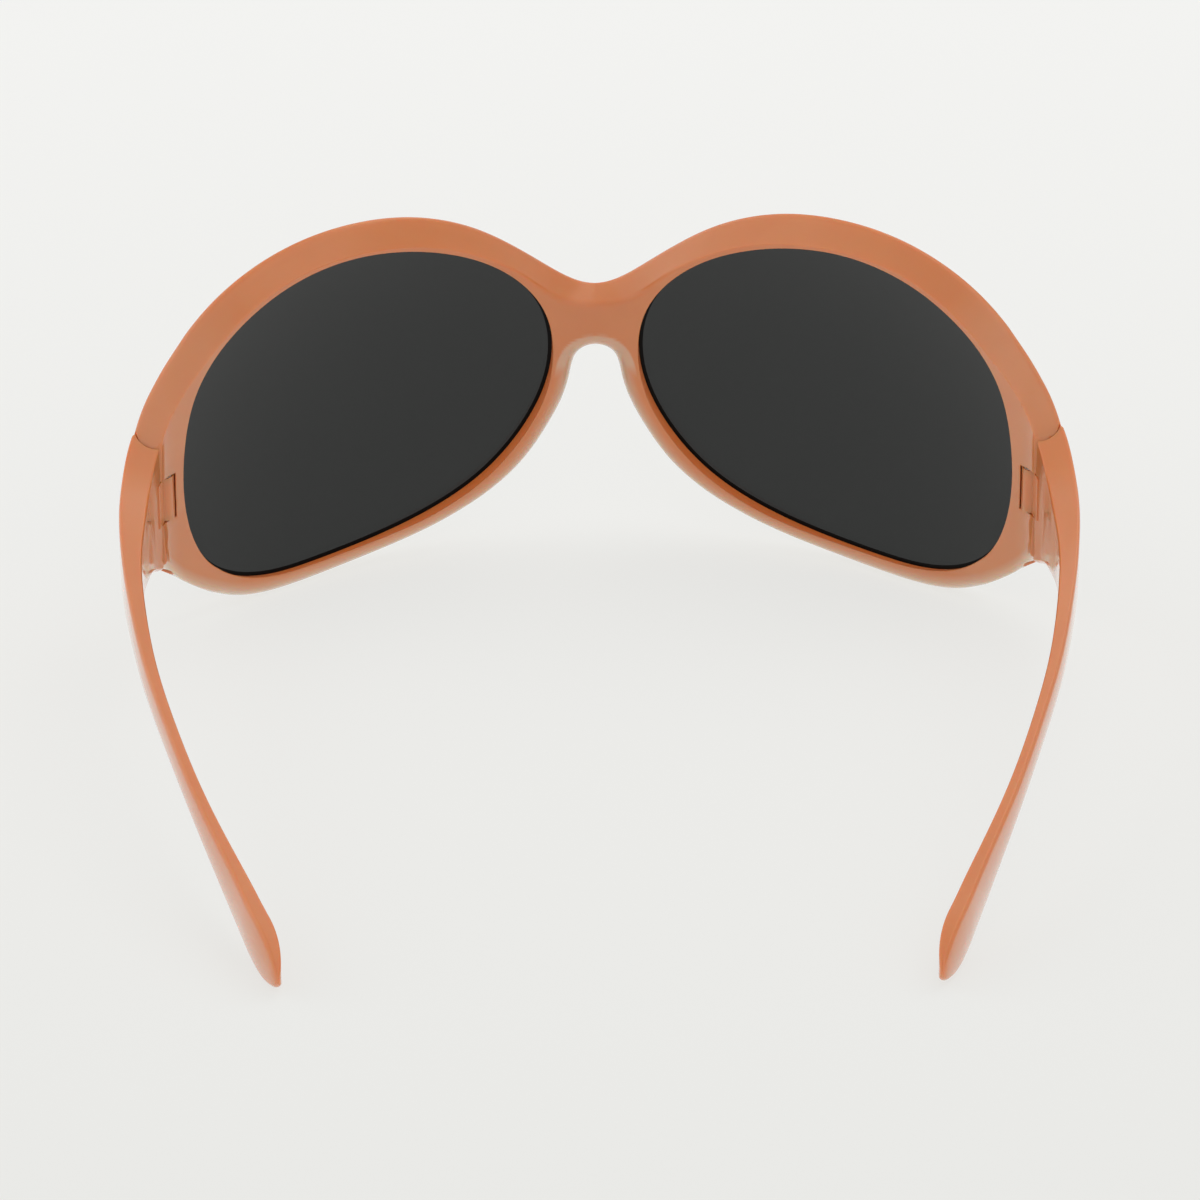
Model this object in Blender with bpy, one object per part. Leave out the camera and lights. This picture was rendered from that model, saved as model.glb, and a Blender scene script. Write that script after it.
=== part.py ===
# Round wrap sunglasses with tinted see-through lenses, opened out and resting on a table.
# X runs across the face, Y from the front of the lenses back to the temple tips, Z up.
# Each side of the front is drawn flat as a sheet, with s along it and z up, and then bent
# round the face. A depth t is measured square to the sheet, positive towards the wearer.

import math

import bmesh
import bpy
import numpy as np

# Front sheet
HALF_SPAN = 0.084               # along the sheet, from the centre plane to the cut end
FRONT_HEIGHT = 0.0595           # from the lowest point of the rims to the brow
WRAP_RADIUS = 0.088             # bend of the front round the face
CORNER_REACH = 0.008            # length of sheet, up to its end, that takes the corner bend
CORNER_RADIUS = 0.014           # bend of the end piece towards the temple
CROWN_RADIUS = 0.088            # bend of the sheet from brow to cheek
CROWN_LEVEL = 0.0288            # height where the sheet comes furthest forward
CROWN_FADE_REACH = 0.014        # length of sheet, up to its end, where the crown flattens
CROWN_FADE_LENGTH = 0.010
END_CROWN_SHARE = 0.45          # crown left at the end piece
LEAN_SHARE = 0.09               # how far the brow leans back for its height
ORIGIN_SETBACK = 0.07336        # from the sheet at the bridge back to the part's origin
EYE_CENTRE_SHARES = (0.476, 0.504)

# Lens and its groove, as depths from the sheet
GROOVE_DEPTH = 0.0010           # outwards from the lens opening
GROOVE_BACK = 0.0003            # back wall of the groove, behind the sheet
LENS_THICKNESS = 0.0020
LENS_GAP = 0.0003               # between the lens and each wall of its groove
GROOVE_FRONT = LENS_THICKNESS + 2.0 * LENS_GAP - GROOVE_BACK
LENS_RING_SHARES = (0.4, 0.75, 1.0)

# Rim section
FRONT_WALL = 0.0008             # in front of the lens groove, at the lens
FRONT_EASE = 0.0002             # how much thinner the front wall is away from the lens
BACK_WALL = 0.0017              # behind the lens groove
FRONT_LIP_DEPTH = GROOVE_FRONT + FRONT_WALL
FRONT_DEPTH = FRONT_LIP_DEPTH - FRONT_EASE
BACK_DEPTH = GROOVE_BACK + BACK_WALL
PAD_RISE = 0.0012               # extra depth of the back face at the nose pads
PAD_START = 165.0               # degrees round the eye centre, where the pads rise
PAD_RISING = 25.0
PAD_END = 285.0
PAD_FALLING = 45.0
EDGE_ROUND = 0.0005             # front corner of the brow edge
EDGE_LAND = 0.0003              # straight part of the brow edge
LOWER_ROUND = 0.0014            # corners of the cheek and nose edges
NOTCH_ROUND = 0.0020            # back corner over the nose
NOSE_ROUND = 0.0026             # back corner of the nose legs
RIDGE_LAND = 0.00025            # least width of back face between ridge and lens
FOOT_CUT = 0.0002               # depth of the flats that the part rests on
FRONT_ROUND_LIMIT_SHARE = 0.45  # most of the rim's width that its front corner takes
BACK_ROUND_LEAST_SHARE = 0.1    # least of the rim's width that its back corner takes
BACK_RING_SHARE = 0.45          # place of the extra ring on the back corner
SLANT_LEAST_SHARE = 0.4         # a corner never reads as wider than its radius over this

# Temples
TEMPLE_LENGTH = 0.1175          # from the hinge axis to the tip, front to back
TEMPLE_DRAW_IN = 0.0230         # how far the tip comes in from the hinge axis
TEMPLE_THICKNESS = 0.0046       # at the hinge
TEMPLE_HEAD_DROP = 0.0037       # top of the temple at the hinge below the brow there
TEMPLE_TOP_FALL = 0.0012        # outer edge of the top above its inner edge, at the hinge
TEMPLE_ROUND = 0.0009           # edges of the temple
TEMPLE_ROUND_LIMIT_SHARE = 0.9  # most of the half section that its corners take
TIP_ROUND_LENGTH = 0.0050

# Hinge
HINGE_INSET = 0.0060            # along the sheet, from its end back to the hinge axis
HINGE_DEPTH = 0.0005            # behind the sheet
HINGE_RISE = 0.0139             # middle of the hinge above the underside of the end piece
SEAM_SHIFT = (0.0007, 0.0001)   # from the hinge axis to the centre of the seam's curve
KNUCKLE_RADIUS = 0.0031         # round end of the end piece
KNUCKLE_GAP = 0.0003            # between the end piece and the temple
BUTT_ANGLE = 18.0               # degrees from +X to the butt joint on the outer side
SEAM_END_ANGLE = 165.0
OPEN_ANGLE = 83.0               # degrees from +X to the open tongue
FOLD_ANGLE = 85.0               # degrees that the tongue turns when folded
TONGUE_RADIUS = 0.00175
TONGUE_HEIGHT = 0.0057
TONGUE_ROOT = 0.0014            # how far the tongue runs into the temple
TONGUE_ROOT_INSET = 0.0004      # inner side of the tongue's root, from the hinge axis
SLOT_GAP = 0.00035              # round the tongue
WASHER_THICKNESS = 0.0004
WASHER_GAP = 0.00025            # above and below each washer
WASHER_INSET = 0.00025          # edge of the washer inside the edge of the tongue
WASHER_RADIUS = TONGUE_RADIUS - WASHER_INSET
SCREW_RADIUS = 0.00055
SCREW_GAP = 0.00015
HEAD_OVERHANG = 0.00045
HEAD_RADIUS = SCREW_RADIUS + HEAD_OVERHANG
HEAD_HEIGHT = 0.0009
HEAD_GAP = 0.0002
HEAD_SEAT_RISE = 0.0032         # seat of the screw's head above the underside of the end piece
DRIVER_SLOT_WIDTH = 0.0003
DRIVER_SLOT_DEPTH = 0.0004
INSERT_WALL = 0.00025
INSERT_RADIUS = SCREW_RADIUS + SCREW_GAP + INSERT_WALL
INSERT_LENGTH = 0.0035
INSERT_GAP = 0.00015
SLOT_HEIGHT = TONGUE_HEIGHT + 2.0 * (WASHER_THICKNESS + 2.0 * WASHER_GAP)

CUT_MARGIN = 0.006              # how far the cutting tools reach past what they cut
SEAM_REACH = KNUCKLE_RADIUS + CUT_MARGIN
TOP_LEVEL = FRONT_HEIGHT + CUT_MARGIN
MIRROR_MERGE = 0.00005

# Outlines in the sheet: shares of HALF_SPAN along and of FRONT_HEIGHT up
BROW_SHARES = (
    (0.000, 0.731), (0.095, 0.797), (0.232, 0.928), (0.357, 0.988), (0.470, 1.000), (0.601, 0.976),
    (0.708, 0.921), (0.789, 0.849), (0.857, 0.756), (0.913, 0.654), (0.960, 0.543), (1.000, 0.430),
)
CHEEK_SHARES = (
    (0.000, 0.578), (0.030, 0.563), (0.051, 0.482), (0.095, 0.345), (0.145, 0.244), (0.230, 0.149),
    (0.335, 0.083), (0.477, 0.032), (0.619, 0.008), (0.690, 0.006), (0.785, 0.025), (0.862, 0.076),
    (0.948, 0.169), (1.000, 0.222),
)
RIDGE_SHARES = (
    (0.000, 0.720), (0.068, 0.736), (0.133, 0.810), (0.201, 0.877), (0.339, 0.950), (0.446, 0.966),
    (0.576, 0.939), (0.700, 0.860), (0.775, 0.790), (0.843, 0.696), (0.905, 0.622), (0.943, 0.551),
    (1.000, 0.395),
)
LENS_SHARES = (
    (0.876, 0.509), (0.833, 0.692), (0.743, 0.826), (0.639, 0.908), (0.531, 0.947), (0.421, 0.950),
    (0.308, 0.921), (0.191, 0.847), (0.101, 0.702), (0.087, 0.509), (0.138, 0.336), (0.222, 0.208),
    (0.346, 0.116), (0.476, 0.069), (0.595, 0.049), (0.742, 0.061), (0.845, 0.145), (0.877, 0.247),
)

# Temple stations: length, draw-in, top, bottom, thickness and fall of the top towards the
# wearer, each as a share of its own size
TEMPLE_SHARES = (
    (-0.030, 0.020, 1.080, 0.290, 1.00, 1.00), (0.030, -0.076, 0.970, 0.345, 1.00, 1.00),
    (0.066, -0.108, 0.894, 0.395, 0.98, 0.80), (0.134, -0.122, 0.831, 0.462, 0.93, 0.45),
    (0.219, -0.109, 0.773, 0.512, 0.72, 0.15), (0.321, -0.052, 0.710, 0.511, 0.57, 0.00),
    (0.449, 0.061, 0.624, 0.465, 0.47, 0.00), (0.576, 0.226, 0.538, 0.392, 0.41, 0.00),
    (0.704, 0.426, 0.444, 0.290, 0.42, 0.00), (0.832, 0.665, 0.344, 0.132, 0.50, 0.00),
    (0.917, 0.824, 0.275, 0.036, 0.59, 0.00), (1.000, 0.957, 0.215, -0.034, 0.60, 0.00),
)

# How finely the curves are cut
SPLINE_STEPS = 40
BROW_STATIONS = 40
END_STATIONS = 3
CHEEK_STATIONS = 40
LENS_STATIONS = 64
TEMPLE_STATIONS = 30
TIP_STATIONS = 5
CORNER_ANGLES = (0.0, 30.0, 60.0, 90.0)
ROUND_SIDES = 24
CENTRE_RISE_SHARES = (0.04, 0.11, 0.24, 0.45, 0.70, 0.94)
SLOPE_PROBE_SHARE = 0.0005
ANGLE_PROBE = 0.005

PLASTIC = ("salmon_plastic", (0.56, 0.24, 0.125, 1.0), 0.18, 0.0)
TINT = ("grey_lens", (0.03, 0.03, 0.032, 1.0), 0.05, 0.0)
STEEL = ("screw_steel", (0.55, 0.55, 0.56, 1.0), 0.30, 1.0)
BRASS = ("insert_brass", (0.70, 0.52, 0.25, 1.0), 0.35, 1.0)
NYLON = ("washer_nylon", (0.80, 0.78, 0.74, 1.0), 0.45, 0.0)


def clear_scene():
    for item in list(bpy.data.objects):
        bpy.data.objects.remove(item, do_unlink=True)


def material(finish):
    name, colour, roughness, metallic = finish
    made = bpy.data.materials.get(name) or bpy.data.materials.new(name)
    made.use_nodes = True
    shader = made.node_tree.nodes["Principled BSDF"]
    shader.inputs["Base Color"].default_value = colour
    shader.inputs["Roughness"].default_value = roughness
    shader.inputs["Metallic"].default_value = metallic
    made.diffuse_color = colour
    return made


def spline(points, closed=False):
    """Smooth curve with continuous bend through the points, in any number of dimensions."""
    knots = np.array(list(points) + ([points[0]] if closed else []), dtype=float)
    span = np.linalg.norm(np.diff(knots, axis=0), axis=1)
    slope = np.diff(knots, axis=0) / span[:, None]
    count = len(span)
    size = count if closed else count + 1
    left = np.zeros((size, size))
    right = np.zeros((size, knots.shape[1]))
    for i in range(size):
        if not closed and i in (0, count):
            left[i, i] = 1.0
            continue
        before = span[i - 1]
        after = span[i % count]
        left[i, (i - 1) % size] += before
        left[i, i] += 2.0 * (before + after)
        left[i, (i + 1) % size] += after
        right[i] = 6.0 * (slope[i % count] - slope[i - 1])
    bend = np.linalg.solve(left, right)
    pieces = []
    for i in range(count):
        u = np.linspace(0.0, 1.0, SPLINE_STEPS, endpoint=False)[:, None]
        v = 1.0 - u
        curve = (v ** 3 - v) * bend[i] + (u ** 3 - u) * bend[(i + 1) % size]
        pieces.append(v * knots[i] + u * knots[i + 1] + span[i] ** 2 / 6.0 * curve)
    return np.vstack(pieces + [knots[-1:]])


def even_steps(curve, count):
    """The curve cut into equal lengths, both ends included."""
    length = np.concatenate([[0.0], np.cumsum(np.linalg.norm(np.diff(curve, axis=0), axis=1))])
    wanted = np.linspace(0.0, length[-1], count + 1)
    return np.stack([np.interp(wanted, length, curve[:, k]) for k in range(curve.shape[1])], axis=1)


def sheet_points(shares):
    return [(along * HALF_SPAN, up * FRONT_HEIGHT) for along, up in shares]


def centred_spline(shares):
    """Curve that leaves the centre plane square to it, because its mirror image joins on."""
    points = sheet_points(shares)
    mirrored = [(-s, z) for s, z in reversed(points[1:3])]
    curve = spline(mirrored + points)
    return curve[len(mirrored) * SPLINE_STEPS:]


BROW = centred_spline(BROW_SHARES)
CHEEK = centred_spline(CHEEK_SHARES)
RIDGE = centred_spline(RIDGE_SHARES)
OPENING = spline(sheet_points(LENS_SHARES), closed=True)
EYE_CENTRE = np.array(sheet_points([EYE_CENTRE_SHARES])[0])


def sheet_base(s, z):
    """Point of the bent sheet: a wide bend, then the corner bend, with a crown and a lean."""
    corner_start = HALF_SPAN - CORNER_REACH
    past = np.maximum(s - corner_start, 0.0) / CORNER_RADIUS
    wide = np.minimum(s, corner_start) / WRAP_RADIUS
    angle = wide + past
    x = WRAP_RADIUS * np.sin(wide) + CORNER_RADIUS * (np.sin(angle) - np.sin(wide))
    y = WRAP_RADIUS * (1.0 - np.cos(wide)) + CORNER_RADIUS * (np.cos(wide) - np.cos(angle))
    fade = np.clip((s - HALF_SPAN + CROWN_FADE_REACH) / CROWN_FADE_LENGTH, 0.0, 1.0)
    fade = 1.0 - (1.0 - END_CROWN_SHARE) * fade * fade * (3.0 - 2.0 * fade)
    rise = z - CROWN_LEVEL
    crown = rise * rise / (2.0 * CROWN_RADIUS) * fade
    return np.stack([x - np.sin(angle) * crown,
                     y + np.cos(angle) * crown + LEAN_SHARE * rise - ORIGIN_SETBACK,
                     z + 0.0 * s], axis=-1)


def sheet_solid(s, z, t):
    """Point at depth t from the sheet, square to it."""
    probe = SLOPE_PROBE_SHARE * HALF_SPAN
    along = sheet_base(s + probe, z) - sheet_base(s - probe, z)
    up = sheet_base(s, z + probe) - sheet_base(s, z - probe)
    square = np.cross(up, along)
    square /= np.linalg.norm(square, axis=-1, keepdims=True)
    square *= np.where(square[..., 1:2] + np.abs(square[..., :1]) < 0.0, -1.0, 1.0)
    return sheet_base(s, z) + square * np.asarray(t)[..., None]


def level_over_hinge(curve):
    """Level of an outline of the sheet at the hinge."""
    place = np.abs(curve[:, 0] - (HALF_SPAN - HINGE_INSET)).argmin()
    return curve[place, 1]


# Places that follow from the sheet
HINGE_FOOT = level_over_hinge(CHEEK) - FOOT_CUT
HINGE_LEVEL = HINGE_FOOT + HINGE_RISE
HEAD_SEAT = HINGE_FOOT + HEAD_SEAT_RISE
TEMPLE_HEAD = level_over_hinge(BROW) - TEMPLE_HEAD_DROP
HINGE_X, HINGE_BACK, _ = sheet_solid(np.array([HALF_SPAN - HINGE_INSET]), np.array([HINGE_LEVEL]),
                                     np.array([HINGE_DEPTH]))[0]
TEMPLE_X = HINGE_X + SEAM_SHIFT[0]


def polar(points):
    away = points - EYE_CENTRE
    return np.arctan2(away[..., 1], away[..., 0]) % (2.0 * math.pi), np.hypot(away[..., 0], away[..., 1])


def radius_of(curve, angle):
    """Distance from the eye centre to the curve, in the given directions."""
    turn, radius = polar(curve)
    order = np.argsort(turn)
    return np.interp(angle, turn[order], radius[order], period=2.0 * math.pi)


def opening_point(angle, outward=0.0):
    """Point of the lens opening in the given direction, moved square to its edge."""
    edge = []
    for shift in (-ANGLE_PROBE, 0.0, ANGLE_PROBE):
        turn = angle + shift
        radius = radius_of(OPENING, turn)
        edge.append(EYE_CENTRE + radius[:, None] * np.stack([np.cos(turn), np.sin(turn)], axis=-1))
    run = edge[2] - edge[0]
    run /= np.linalg.norm(run, axis=1, keepdims=True)
    return edge[1] + outward * np.stack([run[:, 1], -run[:, 0]], axis=-1)


def nearest(points, curve):
    """Distance to the curve, and the place along the sheet of its nearest point."""
    gap = np.linalg.norm(points[:, None, :] - curve[None, :, :], axis=2)
    return gap.min(axis=1), curve[gap.argmin(axis=1), 0]


def corner_drop(distance, radius):
    """Fall of a rounded corner: its whole radius at the edge, nothing one radius in."""
    share = np.clip(distance / radius, 0.0, 1.0)
    return radius * (1.0 - np.sqrt(1.0 - (1.0 - share) ** 2))


def front_depth(points):
    brow_gap, _ = nearest(points, BROW)
    cheek_gap, _ = nearest(points, CHEEK)
    opening_gap, _ = nearest(points, OPENING)
    lip = np.exp(-opening_gap / FRONT_DEPTH)
    face = FRONT_DEPTH + (FRONT_LIP_DEPTH - FRONT_DEPTH) * lip
    fall = np.maximum(corner_drop(brow_gap, EDGE_ROUND), corner_drop(cheek_gap, LOWER_ROUND))
    return fall - face


def pad_share(points):
    """One along the nose pads, fading out up to the bridge and along the cheek."""
    turn, _ = polar(points)
    turn = np.degrees(turn)
    rising = np.clip((turn - PAD_START) / PAD_RISING, 0.0, 1.0)
    falling = np.clip((PAD_END - turn) / PAD_FALLING, 0.0, 1.0)
    both = np.minimum(rising, falling)
    return both * both * (3.0 - 2.0 * both)


def back_depth(points):
    brow_gap, _ = nearest(points, BROW)
    ridge_gap, _ = nearest(points, RIDGE)
    cheek_gap, cheek_s = nearest(points, CHEEK)
    turn, radius = polar(points)
    ridge_start, _ = polar(RIDGE[0])
    in_band = (radius > radius_of(RIDGE, turn)) & (brow_gap < cheek_gap)
    in_band &= (turn <= ridge_start) | (turn > 1.5 * math.pi)
    band_fall = BACK_DEPTH + FRONT_DEPTH - EDGE_ROUND - EDGE_LAND
    band = np.where(in_band, band_fall * ridge_gap / (ridge_gap + brow_gap), 0.0)
    nose_end = CHEEK_SHARES[5][0] * HALF_SPAN
    nose_start = CHEEK_SHARES[2][0] * HALF_SPAN
    corner = np.interp(cheek_s, (0.0, nose_start, nose_end), (NOTCH_ROUND, NOSE_ROUND, LOWER_ROUND))
    corner = np.where(cheek_s > nose_end, LOWER_ROUND, corner)
    return BACK_DEPTH + PAD_RISE * pad_share(points) - np.maximum(band, corner_drop(cheek_gap, corner))


def outline_stations():
    """Points round one half of the front, and which of them lie on the centre plane."""
    brow = even_steps(BROW, BROW_STATIONS)
    cheek = even_steps(CHEEK, CHEEK_STATIONS)[::-1]
    end = np.linspace(brow[-1], cheek[0], END_STATIONS + 1)[1:-1]
    rise = np.array(CENTRE_RISE_SHARES)[:, None]
    centre = cheek[-1] + (brow[0] - cheek[-1]) * rise
    stations = np.vstack([brow, end, cheek, centre])
    on_centre = np.zeros(len(stations), dtype=bool)
    on_centre[len(stations) - len(centre) - 1:] = True
    on_centre[0] = True
    return stations, on_centre


def half_front():
    """Rings of points from the lens opening over the front, edge and back to the opening again."""
    outer, on_centre = outline_stations()
    turn, _ = polar(outer)
    inner = opening_point(turn)
    groove = opening_point(turn, GROOVE_DEPTH)
    ray = outer - inner
    width = np.linalg.norm(ray, axis=1, keepdims=True)
    ray /= width
    run = np.roll(outer, -1, axis=0) - np.roll(outer, 1, axis=0)
    run /= np.linalg.norm(run, axis=1, keepdims=True)
    square = np.clip(np.abs(ray[:, :1] * run[:, 1:] - ray[:, 1:] * run[:, :1]), SLANT_LEAST_SHARE, 1.0)
    ridge_radius = radius_of(RIDGE, turn)
    _, outer_radius = polar(outer)
    upper = (turn < math.pi)[:, None] & (nearest(outer, BROW)[0] < nearest(outer, CHEEK)[0])[:, None]
    _, cheek_s = nearest(outer, CHEEK)
    lower_reach = np.interp(cheek_s, (0.0, CHEEK_SHARES[5][0] * HALF_SPAN), (NOSE_ROUND, LOWER_ROUND))
    lower_reach = lower_reach[:, None] / square
    front_reach = np.where(upper, EDGE_ROUND, LOWER_ROUND) / square
    back_reach = np.where(upper, (outer_radius - ridge_radius)[:, None], lower_reach)
    front_reach = np.minimum(front_reach, FRONT_ROUND_LIMIT_SHARE * width)
    back_reach = np.clip(back_reach, BACK_ROUND_LEAST_SHARE * width, width - RIDGE_LAND)
    rings = []

    def ring(points, depth):
        rings.append(sheet_solid(points[:, 0], points[:, 1], depth))

    def front_ring(inset):
        points = outer - ray * inset
        ring(points, front_depth(points))

    def back_ring(inset):
        points = outer - ray * inset
        ring(points, back_depth(points))

    front_ring(width)
    front_ring((width + front_reach) / 2.0)
    front_ring(front_reach)
    front_ring(0.0 * width)
    back_ring(0.0 * width)
    back_ring(BACK_RING_SHARE * back_reach)
    back_ring(back_reach)
    back_ring((width + back_reach) / 2.0)
    back_ring(width)
    level = np.ones(len(outer))
    ring(inner, level * GROOVE_BACK)
    ring(groove, level * GROOVE_BACK)
    ring(groove, -level * GROOVE_FRONT)
    ring(inner, -level * GROOVE_FRONT)
    points = np.stack(rings, axis=1)
    wall = 3
    points[on_centre, wall, 0] = 0.0
    points[on_centre, wall + 1, 0] = 0.0
    faces = []
    stations, loops = points.shape[:2]
    for i in range(stations):
        j = (i + 1) % stations
        for k in range(loops):
            if k == wall and on_centre[i] and on_centre[j]:
                continue
            m = (k + 1) % loops
            faces.append((i * loops + k, i * loops + m, j * loops + m, j * loops + k))
    return points.reshape(-1, 3), faces


def new_object(name, points, faces, finish, origin=(0.0, 0.0, 0.0), mirrored=False):
    """Object whose mesh holds the points about its origin, or their mirror image in X."""
    points = np.asarray(points, dtype=float).copy()
    origin = np.array(origin, dtype=float)
    if mirrored:
        points[:, 0] *= -1.0
        origin[0] *= -1.0
    mesh = bpy.data.meshes.new(name)
    mesh.from_pydata((points - origin).tolist(), [], [tuple(face) for face in faces])
    fix = bmesh.new()
    fix.from_mesh(mesh)
    bmesh.ops.recalc_face_normals(fix, faces=fix.faces)
    fix.to_mesh(mesh)
    fix.free()
    made = bpy.data.objects.new(name, mesh)
    made.location = origin
    made.data.materials.append(material(finish))
    bpy.context.scene.collection.objects.link(made)
    return made


def cut(target, tool, operation="DIFFERENCE"):
    step = target.modifiers.new(tool.name, "BOOLEAN")
    step.operation = operation
    step.object = tool
    step.solver = "EXACT"
    tool.hide_render = True
    tool.display_type = "WIRE"


def prism(name, plan, low, high, mirrored, finish=PLASTIC):
    """Upright block over a plan outline, from one level to another."""
    plan = np.asarray(plan, dtype=float)
    count = len(plan)
    points = np.vstack([np.column_stack([plan, np.full(count, low)]),
                        np.column_stack([plan, np.full(count, high)])])
    faces = [tuple(range(count))[::-1], tuple(range(count, 2 * count))]
    faces += [(i, (i + 1) % count, count + (i + 1) % count, count + i) for i in range(count)]
    return new_object(name, points, faces, finish, mirrored=mirrored)


def turned(name, profile, finish, mirrored, bore=0.0):
    """Round piece about the hinge axis, from a profile of radius and level, bottom to top."""
    angle = np.linspace(0.0, 2.0 * math.pi, ROUND_SIDES, endpoint=False)
    rows = [(HINGE_X + r * np.cos(angle), HINGE_BACK + r * np.sin(angle), level + 0.0 * angle)
            for r, level in profile]
    if bore:
        rows += [(HINGE_X + bore * np.cos(angle), HINGE_BACK + bore * np.sin(angle), level + 0.0 * angle)
                 for level in (profile[-1][1], profile[0][1])]
    points = np.concatenate([np.column_stack(row) for row in rows])
    faces = []
    last = len(rows) if bore else len(rows) - 1
    for i in range(last):
        below = i * ROUND_SIDES
        above = (i + 1) % len(rows) * ROUND_SIDES
        for k in range(ROUND_SIDES):
            m = (k + 1) % ROUND_SIDES
            faces.append((below + k, below + m, above + m, above + k))
    if not bore:
        faces.append(tuple(range(ROUND_SIDES))[::-1])
        faces.append(tuple(range(len(points) - ROUND_SIDES, len(points))))
    origin = (HINGE_X, HINGE_BACK, HINGE_LEVEL)
    return new_object(name, points, faces, finish, origin=origin, mirrored=mirrored)


def hinge_plan(radius, start, end, shift=(0.0, 0.0)):
    """Arc about the hinge axis in plan, or beside it, from one direction to another in degrees."""
    angle = np.radians(np.linspace(start, end, ROUND_SIDES))
    return np.column_stack([HINGE_X + shift[0] + radius * np.cos(angle),
                            HINGE_BACK + shift[1] + radius * np.sin(angle)])


def along_hinge(direction, forward, sideways):
    """Plan point reached from the hinge axis along a direction and square to it, to its right."""
    angle = math.radians(direction)
    return (HINGE_X + forward * math.cos(angle) + sideways * math.sin(angle),
            HINGE_BACK + forward * math.sin(angle) - sideways * math.cos(angle))


def front_cutters(side, mirrored):
    """Seam, tongue slot and screw hole of one end piece."""
    seam = np.vstack([hinge_plan(KNUCKLE_RADIUS, BUTT_ANGLE, SEAM_END_ANGLE, SEAM_SHIFT),
                      hinge_plan(SEAM_REACH, SEAM_END_ANGLE, BUTT_ANGLE, SEAM_SHIFT)])
    seam_tool = prism(side + "_seam_tool", seam, -CUT_MARGIN, TOP_LEVEL, mirrored)
    radius = TONGUE_RADIUS + SLOT_GAP
    folded = OPEN_ANGLE + FOLD_ANGLE
    slot = np.vstack([hinge_plan(radius, folded - 270.0, OPEN_ANGLE - 90.0),
                      [along_hinge(OPEN_ANGLE, SEAM_REACH, radius)],
                      [along_hinge(folded, SEAM_REACH, -radius)]])
    low = HINGE_LEVEL - SLOT_HEIGHT / 2.0
    high = HINGE_LEVEL + SLOT_HEIGHT / 2.0
    slot_tool = prism(side + "_slot_tool", slot, low, high, mirrored)
    hole = SCREW_RADIUS + SCREW_GAP
    socket = INSERT_RADIUS + INSERT_GAP
    counterbore = HEAD_RADIUS + HEAD_GAP
    top = high + INSERT_LENGTH + WASHER_GAP + INSERT_GAP
    profile = [(counterbore, -CUT_MARGIN), (counterbore, HEAD_SEAT), (hole, HEAD_SEAT),
               (hole, HINGE_LEVEL), (socket, HINGE_LEVEL), (socket, top)]
    screw_tool = turned(side + "_screw_tool", profile, PLASTIC, mirrored)
    return [seam_tool, slot_tool, screw_tool]


def table_tool(name):
    """Block under the table level, which leaves the flats that the part rests on."""
    reach = HALF_SPAN + CUT_MARGIN
    back = HINGE_BACK + TEMPLE_LENGTH + CUT_MARGIN
    plan = [(-reach, -reach), (reach, -reach), (reach, back), (-reach, back)]
    return prism(name, plan, -CUT_MARGIN, 0.0, False)


def build_front(table):
    points, faces = half_front()
    points[:, 2] -= FOOT_CUT
    front = new_object("front_frame", points, faces, PLASTIC)
    mirror = front.modifiers.new("other_half", "MIRROR")
    mirror.use_axis = (True, False, False)
    mirror.merge_threshold = MIRROR_MERGE
    for side, mirrored in (("left", False), ("right", True)):
        for tool in front_cutters(side, mirrored):
            cut(front, tool)
    cut(front, table)
    return front


def build_lens(side, mirrored):
    """Lens between two sheet depths, out to a little short of the groove's floor."""
    angle = np.linspace(0.0, 2.0 * math.pi, LENS_STATIONS, endpoint=False)
    edge = opening_point(angle, GROOVE_DEPTH - LENS_GAP)
    back = GROOVE_BACK - LENS_GAP
    rings = []
    for depth, shares in ((back - LENS_THICKNESS, LENS_RING_SHARES), (back, LENS_RING_SHARES[::-1])):
        for share in shares:
            ring = EYE_CENTRE + (edge - EYE_CENTRE) * share
            rings.append(sheet_solid(ring[:, 0], ring[:, 1], np.full(LENS_STATIONS, depth)))
    centre = np.array([EYE_CENTRE, EYE_CENTRE])
    poles = sheet_solid(centre[:, 0], centre[:, 1], np.array([back - LENS_THICKNESS, back]))
    points = np.vstack(rings + [poles])
    points[:, 2] -= FOOT_CUT
    faces = []
    for k in range(len(rings) - 1):
        for i in range(LENS_STATIONS):
            j = (i + 1) % LENS_STATIONS
            a = k * LENS_STATIONS
            b = a + LENS_STATIONS
            faces.append((a + i, a + j, b + j, b + i))
    front_pole = len(points) - 2
    back_pole = len(points) - 1
    last = (len(rings) - 1) * LENS_STATIONS
    for i in range(LENS_STATIONS):
        j = (i + 1) % LENS_STATIONS
        faces.append((front_pole, j, i))
        faces.append((back_pole, last + i, last + j))
    return new_object(side + "_lens", points, faces, TINT, mirrored=mirrored)


def temple_rows():
    sizes = (TEMPLE_LENGTH, -TEMPLE_DRAW_IN, TEMPLE_HEAD, TEMPLE_HEAD, TEMPLE_THICKNESS,
             TEMPLE_TOP_FALL)
    knots = [tuple(share * size for share, size in zip(row, sizes)) for row in TEMPLE_SHARES]
    return spline(knots)


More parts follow.
